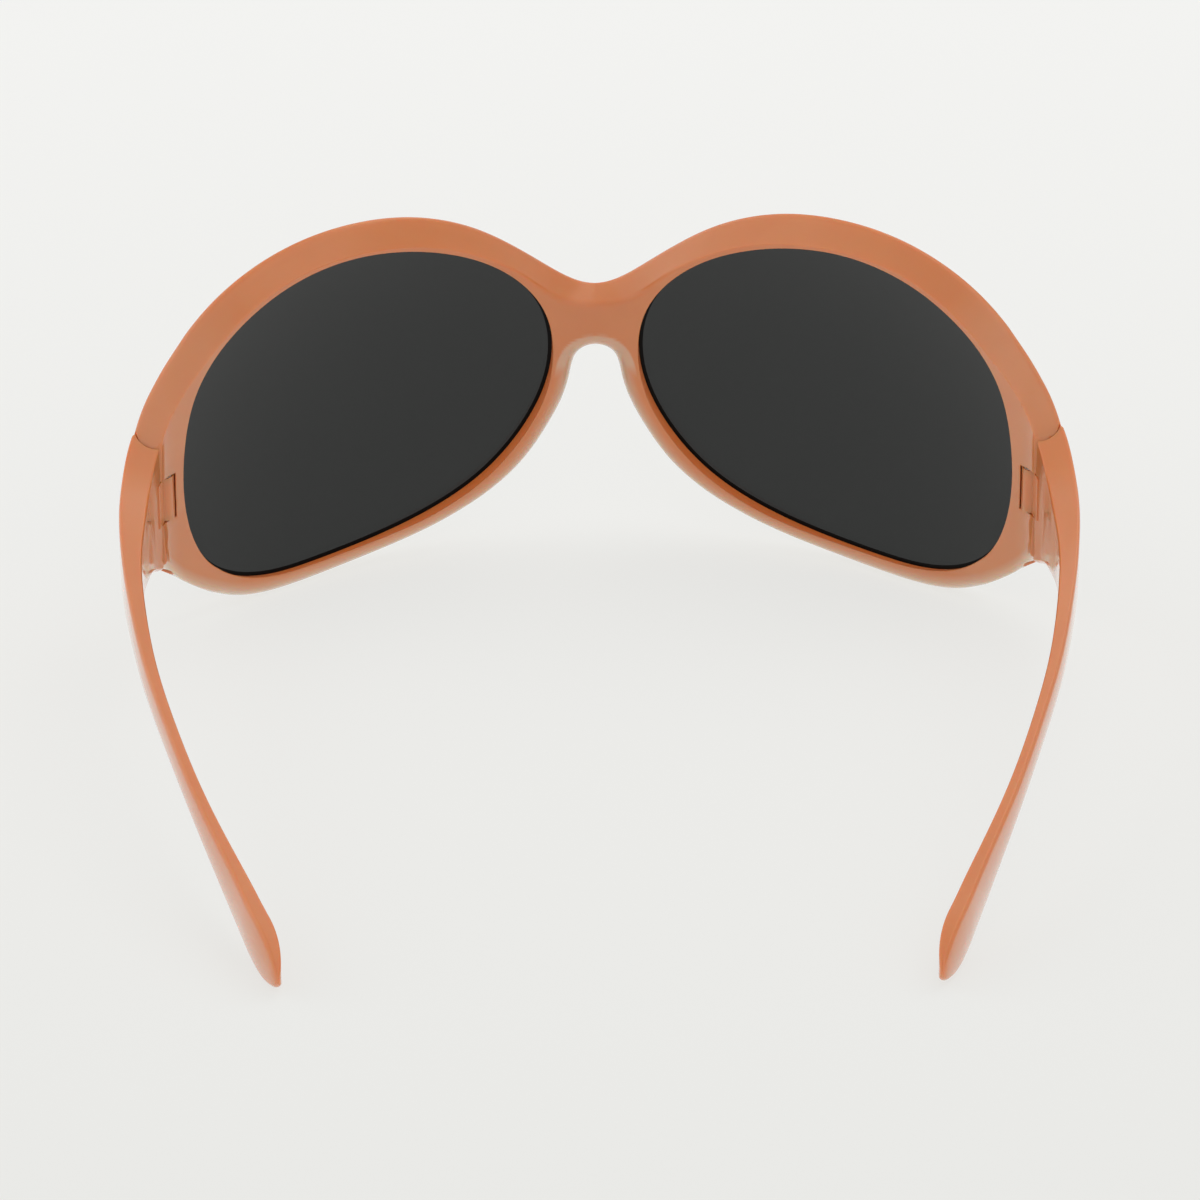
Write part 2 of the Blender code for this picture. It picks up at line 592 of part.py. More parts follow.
def build_temple(side, mirrored, table):
    """Rounded box sections carried along the temple, closed by a rounded tip."""
    rows = temple_rows()
    rows = even_steps(rows, TEMPLE_STATIONS * SPLINE_STEPS)
    start = rows[0, 0]
    end = rows[-1, 0]
    tip_turn = np.linspace(0.0, math.pi / 2.0, TIP_STATIONS + 2)[1:-1]
    places = np.concatenate([np.linspace(start, end - TIP_ROUND_LENGTH, TEMPLE_STATIONS),
                             end - TIP_ROUND_LENGTH * (1.0 - np.sin(tip_turn)), [end]])
    shrink = np.concatenate([np.ones(TEMPLE_STATIONS), np.cos(tip_turn), [0.0]])
    y, x, top, bottom, thickness, fall = [np.interp(places, rows[:, 0], rows[:, k]) for k in range(6)]
    heading = np.arctan2(np.gradient(y), np.gradient(x))
    across = np.column_stack([np.sin(heading), -np.cos(heading)])
    middle = (top + bottom) / 2.0
    tall = (top - bottom) / 2.0 * shrink
    wide = thickness / 2.0 * shrink
    corner = np.minimum(TEMPLE_ROUND, TEMPLE_ROUND_LIMIT_SHARE * np.minimum(tall, wide))
    arc = np.radians(CORNER_ANGLES)
    loops = []
    for quarter in range(4):
        turn = arc + quarter * math.pi / 2.0
        out = 1.0 if quarter in (0, 3) else -1.0
        up = 1.0 if quarter in (0, 1) else -1.0
        for one in turn:
            sideways = out * (wide - corner) + corner * math.cos(one)
            upward = up * (tall - corner) + corner * math.sin(one)
            upward = upward + (up > 0.0) * out * fall / 2.0
            loops.append(np.column_stack([TEMPLE_X + x + across[:, 0] * sideways,
                                          HINGE_BACK + y + across[:, 1] * sideways,
                                          middle + upward]))
    grid = np.stack(loops, axis=1)[:-1]
    tip = np.array([[TEMPLE_X + x[-1], HINGE_BACK + y[-1], middle[-1]]])
    points = np.vstack([grid.reshape(-1, 3), tip])
    points[:, 2] -= FOOT_CUT
    stations, around = grid.shape[:2]
    faces = [tuple(range(around))]
    for i in range(stations - 1):
        for k in range(around):
            m = (k + 1) % around
            faces.append((i * around + k, i * around + m, (i + 1) * around + m, (i + 1) * around + k))
    last = (stations - 1) * around
    for k in range(around):
        faces.append((last + k, last + (k + 1) % around, len(points) - 1))
    origin = (HINGE_X, HINGE_BACK, HINGE_LEVEL)
    temple = new_object(side + "_temple", points, faces, PLASTIC, origin=origin, mirrored=mirrored)
    for tool, operation in temple_tools(side, mirrored):
        cut(temple, tool, operation)
    cut(temple, table)
    return temple


def temple_tools(side, mirrored):
    """Concave seam, hinge tongue and screw hole of one temple."""
    radius = KNUCKLE_RADIUS + KNUCKLE_GAP
    butt_gap_angle = math.degrees(math.asin(KNUCKLE_GAP / radius))
    reach_gap_angle = math.degrees(math.asin(KNUCKLE_GAP / SEAM_REACH))
    seam = np.vstack([hinge_plan(radius, BUTT_ANGLE + butt_gap_angle, SEAM_END_ANGLE, SEAM_SHIFT),
                      hinge_plan(SEAM_REACH, SEAM_END_ANGLE, 360.0 + BUTT_ANGLE + reach_gap_angle,
                                 SEAM_SHIFT)])
    seam_tool = prism(side + "_temple_seam_tool", seam, -CUT_MARGIN, TOP_LEVEL, mirrored)
    root = radius + TONGUE_ROOT
    tongue = np.vstack([hinge_plan(TONGUE_RADIUS, OPEN_ANGLE + 90.0, OPEN_ANGLE + 270.0),
                        [along_hinge(OPEN_ANGLE, root, TONGUE_RADIUS)],
                        [along_hinge(OPEN_ANGLE, root, -TONGUE_ROOT_INSET)]])
    low = HINGE_LEVEL - TONGUE_HEIGHT / 2.0
    high = HINGE_LEVEL + TONGUE_HEIGHT / 2.0
    tongue_tool = prism(side + "_tongue_tool", tongue, low, high, mirrored)
    hole = SCREW_RADIUS + SCREW_GAP
    profile = [(hole, low - WASHER_GAP), (hole, high + WASHER_GAP)]
    bore_tool = turned(side + "_tongue_bore_tool", profile, PLASTIC, mirrored)
    return [(seam_tool, "DIFFERENCE"), (tongue_tool, "UNION"), (bore_tool, "DIFFERENCE")]


def build_hinge_parts(side, mirrored):
    """Screw, threaded insert and the two washers of one hinge."""
    slot_top = HINGE_LEVEL + SLOT_HEIGHT / 2.0
    insert_low = slot_top + WASHER_GAP
    insert_high = insert_low + INSERT_LENGTH
    turned(side + "_threaded_insert", [(INSERT_RADIUS, insert_low), (INSERT_RADIUS, insert_high)],
           BRASS, mirrored, bore=SCREW_RADIUS + SCREW_GAP)
    for place, middle in (("upper", slot_top - WASHER_GAP - WASHER_THICKNESS / 2.0),
                          ("lower", 2.0 * HINGE_LEVEL - slot_top + WASHER_GAP + WASHER_THICKNESS / 2.0)):
        low = middle - WASHER_THICKNESS / 2.0
        high = middle + WASHER_THICKNESS / 2.0
        turned(side + "_" + place + "_hinge_washer", [(WASHER_RADIUS, low), (WASHER_RADIUS, high)],
               NYLON, mirrored, bore=SCREW_RADIUS + SCREW_GAP)
    seat = HEAD_SEAT - HEAD_GAP
    bevel = DRIVER_SLOT_DEPTH / 2.0
    profile = [(HEAD_RADIUS - bevel, seat - HEAD_HEIGHT), (HEAD_RADIUS, seat - HEAD_HEIGHT + bevel),
               (HEAD_RADIUS, seat), (SCREW_RADIUS, seat), (SCREW_RADIUS, insert_high - SCREW_RADIUS),
               (SCREW_RADIUS / 2.0, insert_high)]
    screw = turned(side + "_hinge_screw", profile, STEEL, mirrored)
    half = DRIVER_SLOT_WIDTH / 2.0
    reach = HEAD_RADIUS + CUT_MARGIN
    plan = [(HINGE_X - reach, HINGE_BACK - half), (HINGE_X + reach, HINGE_BACK - half),
            (HINGE_X + reach, HINGE_BACK + half), (HINGE_X - reach, HINGE_BACK + half)]
    floor = seat - HEAD_HEIGHT + DRIVER_SLOT_DEPTH
    slot = prism(side + "_driver_slot_tool", plan, seat - HEAD_HEIGHT - CUT_MARGIN, floor, mirrored)
    cut(screw, slot)


def main():
    clear_scene()
    table = table_tool("table_tool")
    build_front(table)
    for side, mirrored in (("left", False), ("right", True)):
        build_lens(side, mirrored)
        build_temple(side, mirrored, table)
        build_hinge_parts(side, mirrored)
    bpy.context.view_layer.update()


main()
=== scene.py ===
"""Round wrap sunglasses: fine surfaces and finishes over the packed model, in a pale studio."""

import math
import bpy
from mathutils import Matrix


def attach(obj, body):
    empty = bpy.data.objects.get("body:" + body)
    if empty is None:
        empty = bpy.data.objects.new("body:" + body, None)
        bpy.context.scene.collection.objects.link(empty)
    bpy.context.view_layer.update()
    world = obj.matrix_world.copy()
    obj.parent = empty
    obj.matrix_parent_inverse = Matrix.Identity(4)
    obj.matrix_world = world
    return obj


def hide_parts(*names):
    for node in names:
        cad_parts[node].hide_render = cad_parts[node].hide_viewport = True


bl_info = {
    "name": "Round Sunglasses",
    "version": (1, 0, 0),
    "blender": (4, 5, 0),
    "location": "View3D > Sidebar > Sunglasses",
    "description": "Makes the moulded front, lenses and temples of a pair of round sunglasses",
    "category": "Add Mesh",
}

import bmesh
import bpy
import numpy as np
from bpy.props import FloatProperty, FloatVectorProperty, IntProperty, PointerProperty
from bpy.types import Operator, Panel, PropertyGroup
from mathutils import Matrix, Vector

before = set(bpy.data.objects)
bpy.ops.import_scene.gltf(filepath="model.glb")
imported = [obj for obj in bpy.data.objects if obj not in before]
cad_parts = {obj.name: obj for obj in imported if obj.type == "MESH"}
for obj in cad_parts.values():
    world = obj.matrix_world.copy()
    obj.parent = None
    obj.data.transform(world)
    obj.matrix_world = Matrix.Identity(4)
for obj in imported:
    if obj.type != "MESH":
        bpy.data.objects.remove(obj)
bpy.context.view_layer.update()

# Outlines on the bent sheet: shares of the half span along and of the front's height up
BROW_SHARES = (
    (0.000, 0.731), (0.095, 0.797), (0.232, 0.928), (0.357, 0.988), (0.470, 1.000), (0.601, 0.976),
    (0.708, 0.921), (0.789, 0.849), (0.857, 0.756), (0.913, 0.654), (0.960, 0.543), (1.000, 0.430),
)
CHEEK_SHARES = (
    (0.000, 0.571), (0.030, 0.556), (0.050, 0.482), (0.091, 0.345), (0.143, 0.243), (0.230, 0.148),
    (0.335, 0.083), (0.477, 0.032), (0.619, 0.008), (0.690, 0.006), (0.785, 0.025), (0.862, 0.076),
    (0.948, 0.169), (1.000, 0.222),
)
RIDGE_SHARES = (
    (0.000, 0.720), (0.068, 0.736), (0.133, 0.810), (0.201, 0.877), (0.339, 0.950), (0.446, 0.966),
    (0.545, 0.958), (0.635, 0.930), (0.700, 0.889), (0.760, 0.833), (0.820, 0.757), (0.860, 0.702),
    (0.902, 0.636), (0.930, 0.592), (0.950, 0.556), (0.965, 0.520), (1.000, 0.415),
)
LENS_SHARES = (
    (0.876, 0.509), (0.833, 0.692), (0.743, 0.826), (0.639, 0.908), (0.531, 0.947), (0.421, 0.950),
    (0.308, 0.921), (0.191, 0.847), (0.101, 0.702), (0.087, 0.509), (0.138, 0.336), (0.222, 0.208),
    (0.346, 0.116), (0.476, 0.069), (0.595, 0.049), (0.742, 0.061), (0.845, 0.145), (0.877, 0.247),
)

# Temple stations: length, draw-in, top, bottom, thickness and fall of the top towards the
# wearer, each as a share of its own size
TEMPLE_SHARES = (
    (-0.030, 0.020, 1.080, 0.290, 1.00, 1.00), (0.030, -0.076, 0.970, 0.345, 1.00, 1.00),
    (0.066, -0.108, 0.894, 0.395, 0.98, 0.80), (0.134, -0.122, 0.831, 0.462, 0.93, 0.45),
    (0.219, -0.109, 0.773, 0.512, 0.72, 0.15), (0.321, -0.052, 0.710, 0.511, 0.57, 0.00),
    (0.449, 0.061, 0.624, 0.465, 0.47, 0.00), (0.576, 0.226, 0.538, 0.392, 0.41, 0.00),
    (0.704, 0.426, 0.444, 0.290, 0.42, 0.00), (0.832, 0.665, 0.344, 0.132, 0.50, 0.00),
    (0.917, 0.824, 0.275, 0.036, 0.59, 0.00), (1.000, 0.957, 0.215, -0.034, 0.60, 0.00),
)
EYE_CENTRE_SHARES = (0.476, 0.504)
# Places along the temple, as shares of its length, over which its outer side comes to bulge,
# moves out to the paddle, comes back in at the tip, and takes a painted pale highlight at its lower
# edge
BULGE_PLACES = (0.10, 0.55)
OUTWARD_PLACES = (0.40, 0.75)
INWARD_PLACES = (0.90, 0.99)
PAINTED_LIGHT_PLACES = (0.0, 0.20)
TIP_RETURN = 1.7

# Directions from the eye centre, in degrees, where the nose pads start, are full, and end
PAD_TURNS = (165.0, 190.0, 240.0, 285.0)
# Places along the sheet, in metres, over which the ridge's bend tightens away from the bridge
BRIDGE_PLACES = (0.004, 0.018)
# Places along the sheet, as shares of the half span, over which the end piece takes a painted pale
# highlight
END_PLACES = (0.74, 0.82)
# Largest shares of a narrow section, or of its land behind the ridge, that its bends may take
LIP_SHARE = 0.2
FLARE_SHARE = 0.42
RIDGE_BEND_SHARE = 0.45
BACK_LIP_SHARE = 0.3
EDGE_SHARE = 0.1
CHEEK_LAND_SHARE = 0.6
# Heights of the points up the bridge's centre line, as shares of it, counted down from the brow
BRIDGE_STEPS = (0.30, 0.22, 0.16, 0.12, 0.098, 0.085, 0.076, 0.068, 0.058, 0.045, 0.030, 0.015)

# Rows of the cheek outline where the nose leg starts and ends
NOSE_START = 2
NOSE_END = 5

# How finely the surfaces are worked out and cut
SPLINE_STEPS = 60
SLOPE_PROBE = 0.00004
ANGLE_PROBE = 0.005
DISTANCE_BATCH = 4000
FACE_SAMPLES = 140
FACE_STEPS = 20
BACK_SAMPLES = 260
BACK_STEPS = 30
BEND_STEPS = 5
BEND_PLACES = (0.0, 0.06, 0.25, 0.56)
BEND_WEIGHT = 0.30
END_STEPS = 5
NOTCH_STEPS = 11
CENTRE_STEPS = 6
TEMPLE_SAMPLES = 2400
TIP_STEPS = 25
CORNER_STEPS = 10
SIDE_STEPS = 11
ROUND_SIDES = 48
ARC_STEPS = 64
LENS_SIDES = 360
LENS_RINGS = 25
BEVEL_PLACES = (0.0, 0.25, 0.5, 0.75, 1.0)
# Powers that crowd the back samples towards the edge, and that shape how the painted paleness fades
BACK_CROWDING = 1.3
FRONT_FADE = 1.3
TEMPLE_FADE = 1.2
# Largest share of a temple's half thickness that its corners may take
CORNER_SHARE = 0.9
# How many times sooner than its bulge the temple has made the first half of its move out, and
# how steeply its painted paleness fades from the outer side to the inner
OUTWARD_SPEED = 3.0
SIDE_FADE = 0.8
# How far down the brow's edge the bend at its back starts, as a share of the edge's land
EDGE_DROP_SHARE = 0.7
# Last points of each section: on the wall behind the lens, which gets a painted glow, and in the
# groove
OPENING_WALL = slice(-5, -3)
GROOVE = slice(-3, None)
# Angles between faces, in degrees, past which their edge is a crease
CREASE = 35.0
LENS_CREASE = 20.0
HINGE_CREASE = 30.0
THREE_QUARTER_TURN = 1.5 * math.pi
MIRROR = np.array([-1.0, 1.0, 1.0])

FLOOR_RADIUS = 4.0
FLOOR_SIDES = 128
FLOOR_LEVEL = -0.0001
FLOOR_FADE = (-0.31, 0.146)
BLACK = (0.0, 0.0, 0.0, 1.0)
WHITE = (1.0, 1.0, 1.0, 1.0)
STEEL = (0.55, 0.55, 0.56)
BRASS = (0.70, 0.52, 0.25)
NYLON = (0.80, 0.78, 0.74)
NYLON_MOTTLE = (0.70, 0.67, 0.61)


def length_value(name, description, default):
    """Length in metres."""
    return FloatProperty(name=name, description=description, default=default, unit="LENGTH",
                         precision=5)


def share_value(name, description, default):
    """Share of a whole."""
    return FloatProperty(name=name, description=description, default=default, subtype="FACTOR")


def angle_value(name, description, degrees):
    """Angle, given in degrees and kept in radians."""
    return FloatProperty(name=name, description=description, default=math.radians(degrees),
                         subtype="ANGLE")


def colour_value(name, description, default):
    """Colour as red, green and blue."""
    return FloatVectorProperty(name=name, description=description, default=default, size=3,
                               subtype="COLOR", min=0.0, max=1.0)


class FrontSizes(PropertyGroup):
    """Sizes of the moulded front."""

    half_span: length_value(
        "Half span", "Along the bent sheet, from the centre plane to the cut end", 0.084)
    height: length_value("Height", "From the lowest point of the rims to the brow", 0.0595)
    wrap_radius: length_value("Wrap radius", "Bend of the front round the face", 0.088)
    corner_reach: length_value(
        "Corner reach", "Length of sheet, up to its end, that takes the corner bend", 0.008)
    corner_radius: length_value("Corner radius", "Bend of the end piece towards the temple", 0.014)
    crown_radius: length_value("Crown radius", "Bend of the sheet from brow to cheek", 0.088)
    crown_level: length_value(
        "Crown level", "Height where the sheet comes furthest forward", 0.0288)
    fade_reach: length_value(
        "Crown fade reach", "Length of sheet, up to its end, where the crown flattens", 0.014)
    fade_length: length_value("Crown fade length", "Length over which the crown flattens", 0.010)
    end_crown: share_value("End crown", "Share of the crown left at the end piece", 0.45)
    lean: share_value("Lean", "How far the brow leans back, as a share of its height", 0.09)
    setback: length_value("Setback", "From the sheet at the bridge back to the origin", 0.07336)
    front_depth: length_value("Front depth", "Front face ahead of the sheet", 0.0029)
    front_ease: length_value(
        "Front ease", "How far the front face swells towards the lens", 0.0002)
    flare: length_value(
        "Flare", "How much wider the opening is at the front face than at the back", 0.00135)
    back_wall: length_value("Back wall", "Plastic behind the lens groove", 0.0017)
    pad_rise: length_value("Pad rise", "Extra depth of the back face at the nose pads", 0.0012)
    edge_round: length_value("Brow edge round", "Radius of the brow's front corner", 0.0005)
    edge_land: length_value("Brow edge land", "Straight part of the brow's edge", 0.0003)
    lower_round: length_value("Cheek round", "Radius of the cheek edge's corners", 0.0019)
    end_round: length_value(
        "End piece round", "Radius of the lower back corner of the end pieces", 0.0010)
    notch_round: length_value("Notch round", "Radius of the back corner over the nose", 0.0029)
    nose_round: length_value("Nose leg round", "Radius of the nose legs' back corner", 0.0026)
    ridge_round: length_value(
        "Ridge round", "Length of the bend at the ridge over the lenses", 0.00018)
    bridge_round: length_value(
        "Bridge ridge round", "Length of the bend at the ridge over the nose", 0.0009)
    lip_round: length_value(
        "Lip round", "Length of the bend at the edges of the lens opening", 0.00022)
    # Painted highlight: paleness near the cheek edge, under the nose notch and on the end pieces,
    # standing in for the light these edges catch
    painted_light_reach: length_value(
        "Thin reach", "How far from the cheek edge the plastic lets light through", 0.0026)
    notch_painted_light: share_value("Notch thinness", "How thin the bevel over the nose looks", 0.55)
    end_painted_light: share_value("End thinness", "How thin the end pieces look", 0.10)
    foot_cut: length_value("Foot cut", "Depth of the flats that the part rests on", 0.0002)
    brow_stations: IntProperty(
        name="Brow stations", description="Sections along each half of the brow", default=170,
        min=8)
    cheek_stations: IntProperty(
        name="Cheek stations", description="Sections along each half of the cheek", default=220,
        min=8)


class LensSizes(PropertyGroup):
    """Sizes of the lenses and their grooves."""

    thickness: length_value("Thickness", "Lens thickness", 0.00227)
    seat: length_value("Seat", "Back of the lens behind the sheet", 0.00027)
    gap: length_value("Gap", "Between the lens and the walls of its groove", 0.00003)
    edge_gap: length_value(
        "Edge gap", "Between the lens's edge and the bottom of its groove", 0.0003)
    front_setback: length_value(
        "Front setback", "Front wall of the groove outside the opening", 0.00045)
    groove_depth: length_value("Groove depth", "Outwards from the lens opening", 0.0010)
    groove_back: length_value("Groove back", "Back wall of the groove, behind the sheet", 0.0003)
    # Band of the lens back next to the bevel that takes the near-black edge finish, a painted line
    # of shade
    painted_shade_line: length_value(
        "Rim line", "Width of the dark line round the back of the lens", 0.00062)
    bevel_inset: length_value(
        "Bevel inset", "How far the polished bevel comes inside the lens opening", 0.00010)
    bevel_depth: length_value(
        "Bevel depth", "How far the bevel falls to the edge of the lens", 0.00050)


class TempleSizes(PropertyGroup):
    """Sizes of the temples."""

    length: length_value("Length", "From the hinge axis to the tip, front to back", 0.1175)
    draw_in: length_value("Draw-in", "How far the tip comes in from the hinge axis", 0.0230)
    thickness: length_value("Thickness", "Thickness at the hinge", 0.0046)
    head_drop: length_value(
        "Head drop", "Top of the temple at the hinge below the brow there", 0.0037)
    top_fall: length_value(
        "Top fall", "Outer edge of the top above its inner edge, at the hinge", 0.0012)
    round: length_value("Lower round", "Radius of the temple's lower edges", 0.0009)
    outer_round: length_value(
        "Outer top round", "Radius of the top's outer edge at the hinge", 0.00045)
    paddle_round: length_value(
        "Paddle round", "Radius of the top's outer edge at the paddle", 0.0006)
    shift: length_value("Shift", "How far the paddle lies outside its middle line", 0.00030)
    inner_round: length_value("Inner top round", "Radius of the top's inner edge", 0.00030)
    crown: share_value(
        "Side crown", "How far the outer side bulges, as a share of the thickness", 0.30)
    # Painted highlight: paleness along the lower edge of the outer side, standing in for the light
    # it catches
    thin: share_value("Thinness", "How thin the lower edge of the outer side looks", 0.10)
    tip_round: length_value("Tip round", "Length of the rounded tip", 0.0078)
    stations: IntProperty(
        name="Stations", description="Sections along each temple", default=230, min=20)


class HingeSizes(PropertyGroup):
    """Sizes of the hinges."""

    inset: length_value("Inset", "Along the sheet, from its end back to the hinge axis", 0.0060)
    depth: length_value("Depth", "Hinge axis behind the sheet", 0.0005)
    rise: length_value("Rise", "Middle of the hinge above the underside of the end piece", 0.0139)
    seam_shift: FloatVectorProperty(
        name="Seam shift", description="From the hinge axis to the centre of the seam's curve",
        size=2, default=(0.0007, 0.0001), unit="LENGTH", precision=5)
    knuckle_radius: length_value("Knuckle radius", "Round end of the end piece", 0.0031)
    knuckle_gap: length_value("Knuckle gap", "Between the end piece and the temple", 0.0002)
    butt_angle: angle_value("Butt angle", "Direction of the joint on the outer side", 18.0)
    seam_end_angle: angle_value("Seam end angle", "Direction where the seam's curve ends", 165.0)
    open_angle: angle_value("Open angle", "Direction of the open tongue", 83.0)
    tongue_radius: length_value("Tongue radius", "Round barrel of the tongue", 0.00185)
    tongue_height: length_value("Tongue height", "Height of the tongue", 0.0071)
    tongue_core: length_value("Tongue core", "Height of the tongue between its washers", 0.0057)
    washer_recess: length_value(
        "Washer recess", "Radius of the recesses that the washers lie in", 0.00162)
    neck_angle: angle_value(
        "Neck angle", "Direction where the tongue's neck leaves the barrel", 100.0)
    wall_angle: angle_value(
        "Wall angle", "Direction where the slot's wall leaves the barrel", 190.0)
    face_angle: angle_value("Face angle", "Direction that the end piece's back faces", 145.0)
    tongue_root: length_value("Tongue root", "How far the tongue runs into the temple", 0.0014)
    root_inset: length_value(
        "Root inset", "Inner side of the tongue's root, from the hinge axis", 0.0004)
    slot_gap: length_value("Slot gap", "Round the tongue", 0.00020)
    slot_height: length_value("Slot height", "Height of the slot that the tongue turns in", 0.0075)
    # Painted light: paleness on the walls of the screw's hole, where shade falls in the recess
    mouth_painted_light: share_value(
        "Mouth thinness", "How thin the end piece looks around the screw's hole", 0.70)
    screw_hole: length_value("Screw hole", "Radius of the screw's hole", 0.0007)
    head_hole: length_value("Head recess", "Radius of the recess for the screw's head", 0.0012)
    insert_hole: length_value("Insert hole", "Radius of the hole for the threaded insert", 0.0011)
    insert_reach: length_value(
        "Insert reach", "Depth of the insert's hole above the tongue's slot", 0.0039)
    seat_rise: length_value(
        "Seat rise", "Seat of the screw's head above the underside of the end piece", 0.0032)
    margin: length_value("Cut margin", "How far the cutting tools reach past what they cut", 0.006)


class PlasticLook(PropertyGroup):
    """Colours and polish of the moulded plastic."""

    colour: colour_value("Colour", "Salmon body colour", (0.65, 0.216, 0.068))
    deep: colour_value("Deep colour", "Warmer colour of the denser streaks", (0.62, 0.190, 0.054))
    glow: FloatVectorProperty(
        name="Glow reach", description="How far red, green and blue light spread in the plastic",
        size=3, default=(1.0, 0.32, 0.12))
    # Pale colour of the painted highlight on edges and undersides, blended in by the painted-light
    # attribute
    pale: colour_value(
        "Pale", "Colour where the plastic is thin and lets light through", (0.65, 0.51, 0.38))
    # Painted glow given off by the walls of the lens openings, though no lamp lights them
    painted_glow: colour_value(
        "Carried light", "Light that the plastic carries out to the lens openings",
        (0.24, 0.050, 0.008))
    shine: colour_value("Shine", "Colour of the shine", (1.0, 0.92, 0.80))
    coat: share_value("Coat", "Share of the clear polish", 0.75)
    sheen: share_value("Sheen", "Paleness of faces seen along their surface", 0.12)
    glow_depth: length_value("Glow depth", "How far light spreads inside the plastic", 0.0018)
    glow_share: share_value("Glow", "Share of the light that spreads inside the plastic", 0.60)
    roughness: share_value("Roughness", "Roughness of the polished surface", 0.10)


class LensLook(PropertyGroup):
    """Colours of the lenses."""

    tint: colour_value("Tint", "Light that the tinted lens lets through", (0.040, 0.040, 0.0402))
    coating: colour_value(
        "Coating", "What the coated back of the lens reflects", (0.15, 0.18, 0.17))
    # Near-black colour of the ground edge, which also paints the shade of the dark line round the
    # back of the lens
    edge: colour_value("Edge", "Colour of the ground edge", (0.002, 0.003, 0.003))


class StageLook(PropertyGroup):
    """The pale studio, its light and the camera."""

    far_floor: colour_value(
        "Far floor", "Colour of the floor behind the lenses", (0.895, 0.895, 0.877))
    near_floor: colour_value(
        "Near floor", "Colour of the floor behind the temple tips", (0.822, 0.822, 0.799))
    floor_glow: share_value("Floor glow", "Light from the floor itself, as on a light table", 0.84)
    sky: FloatProperty(name="Sky", description="Strength of the even light", default=0.62)
    sky_dim: share_value("Dim side", "What polished faces mirror of the far right", 0.60)
    sky_top: share_value("Top", "What polished faces mirror of the middle", 0.75)
    sky_bright: share_value("Bright sides", "What polished faces mirror of the light walls", 1.0)
    box_light: FloatProperty(
        name="Box light", description="Brightness of the light boxes overhead", default=0.9)
    target: FloatVectorProperty(
        name="Target", description="Point that the camera looks at", size=3, unit="LENGTH",
        default=(0.000142, -0.01336, 0.01723), precision=5)
    distance: length_value("Distance", "From the camera to the target", 0.9)
    azimuth: angle_value(
        "Azimuth", "Camera direction, from straight behind towards the wearer's left", 0.69)
    elevation: angle_value("Elevation", "Camera direction above the table", 25.98)
    roll: angle_value("Roll", "Tilt of the picture", -0.2475)
    focal_length: FloatProperty(
        name="Focal length", description="Focal length in millimetres on a 36 mm sensor",
        default=178.4)


def spline(points, closed=False):
    """Smooth curve through the points: cubic pieces over the distance between them, whose slopes
    and bends meet. The bends solve the equations of a natural spline, or of a closed one."""
    knots = np.array(list(points) + ([points[0]] if closed else []), dtype=float)
    span = np.linalg.norm(np.diff(knots, axis=0), axis=1)
    slope = np.diff(knots, axis=0) / span[:, None]
    count = len(span)
    size = count if closed else count + 1
    left = np.zeros((size, size))
    right = np.zeros((size, knots.shape[1]))
    inner = np.arange(size) if closed else np.arange(1, count)
    before = span[inner - 1]
    after = span[inner % count]
    np.add.at(left, (inner, (inner - 1) % size), before)
    np.add.at(left, (inner, inner), 2.0 * (before + after))
    np.add.at(left, (inner, (inner + 1) % size), after)
    right[inner] = 6.0 * (slope[inner % count] - slope[inner - 1])
    if not closed:
        left[0, 0] = left[count, count] = 1.0
    bend = np.linalg.solve(left, right)
    u = np.linspace(0.0, 1.0, SPLINE_STEPS, endpoint=False)[None, :, None]
    v = 1.0 - u
    first = np.arange(count)
    curve = (v ** 3 - v) * bend[first][:, None] + (u ** 3 - u) * bend[(first + 1) % size][:, None]
    pieces = v * knots[:-1, None] + u * knots[1:, None] + span[:, None, None] ** 2 / 6.0 * curve
    return np.vstack([pieces.reshape(-1, knots.shape[1]), knots[-1:]])


def even_steps(curve, count):
    """The curve cut into equal lengths, both ends included."""
    length = np.concatenate([[0.0], np.cumsum(np.linalg.norm(np.diff(curve, axis=0), axis=1))])
    wanted = np.linspace(0.0, length[-1], count + 1)
    return np.stack([np.interp(wanted, length, curve[:, k]) for k in range(curve.shape[1])], axis=1)


def distance_to(points, curve):
    """Distance from each point to the curve, and the nearest place's first coordinate."""
    gaps = []
    places = []
    for part in np.array_split(points, max(1, len(points) // DISTANCE_BATCH)):
        square = ((part[:, None, :] - curve[None, :, :]) ** 2).sum(axis=2)
        near = square.argmin(axis=1)
        best = np.full(len(part), np.inf)
        place = np.zeros(len(part))
        for side in (-1, 0):
            start = np.clip(near + side, 0, len(curve) - 2)
            foot = curve[start]
            run = curve[start + 1] - foot
            share = ((part - foot) * run).sum(axis=1) / (run * run).sum(axis=1)
            closest = foot + np.clip(share, 0.0, 1.0)[:, None] * run
            gap = np.linalg.norm(part - closest, axis=1)
            place = np.where(gap < best, closest[:, 0], place)
            best = np.minimum(gap, best)
        gaps.append(best)
        places.append(place)
    return np.concatenate(gaps), np.concatenate(places)


def ramp(value, start, end):
    """Share of the way from one value to another, zero before it and one after."""
    return np.clip((value - start) / (end - start), 0.0, 1.0)


def smooth(share):
    """Level at both ends and steepest in the middle, from zero to one."""
    return share * share * (3.0 - 2.0 * share)


def corner_drop(distance, radius):
    """Fall of a rounded corner: a quarter circle that starts one radius in from the edge."""
    share = np.clip(distance / radius, 0.0, 1.0)
    return radius * (1.0 - np.sqrt(1.0 - (1.0 - share) ** 2))


def bent(start, control, end, steps):
    """Parabola from start to end that leaves and arrives along the lines to the control point."""
    u = np.linspace(0.0, 1.0, steps)[None, :, None]
    v = 1.0 - u
    return v ** 2 * start[:, None] + 2.0 * u * v * control[:, None] + u * u * end[:, None]


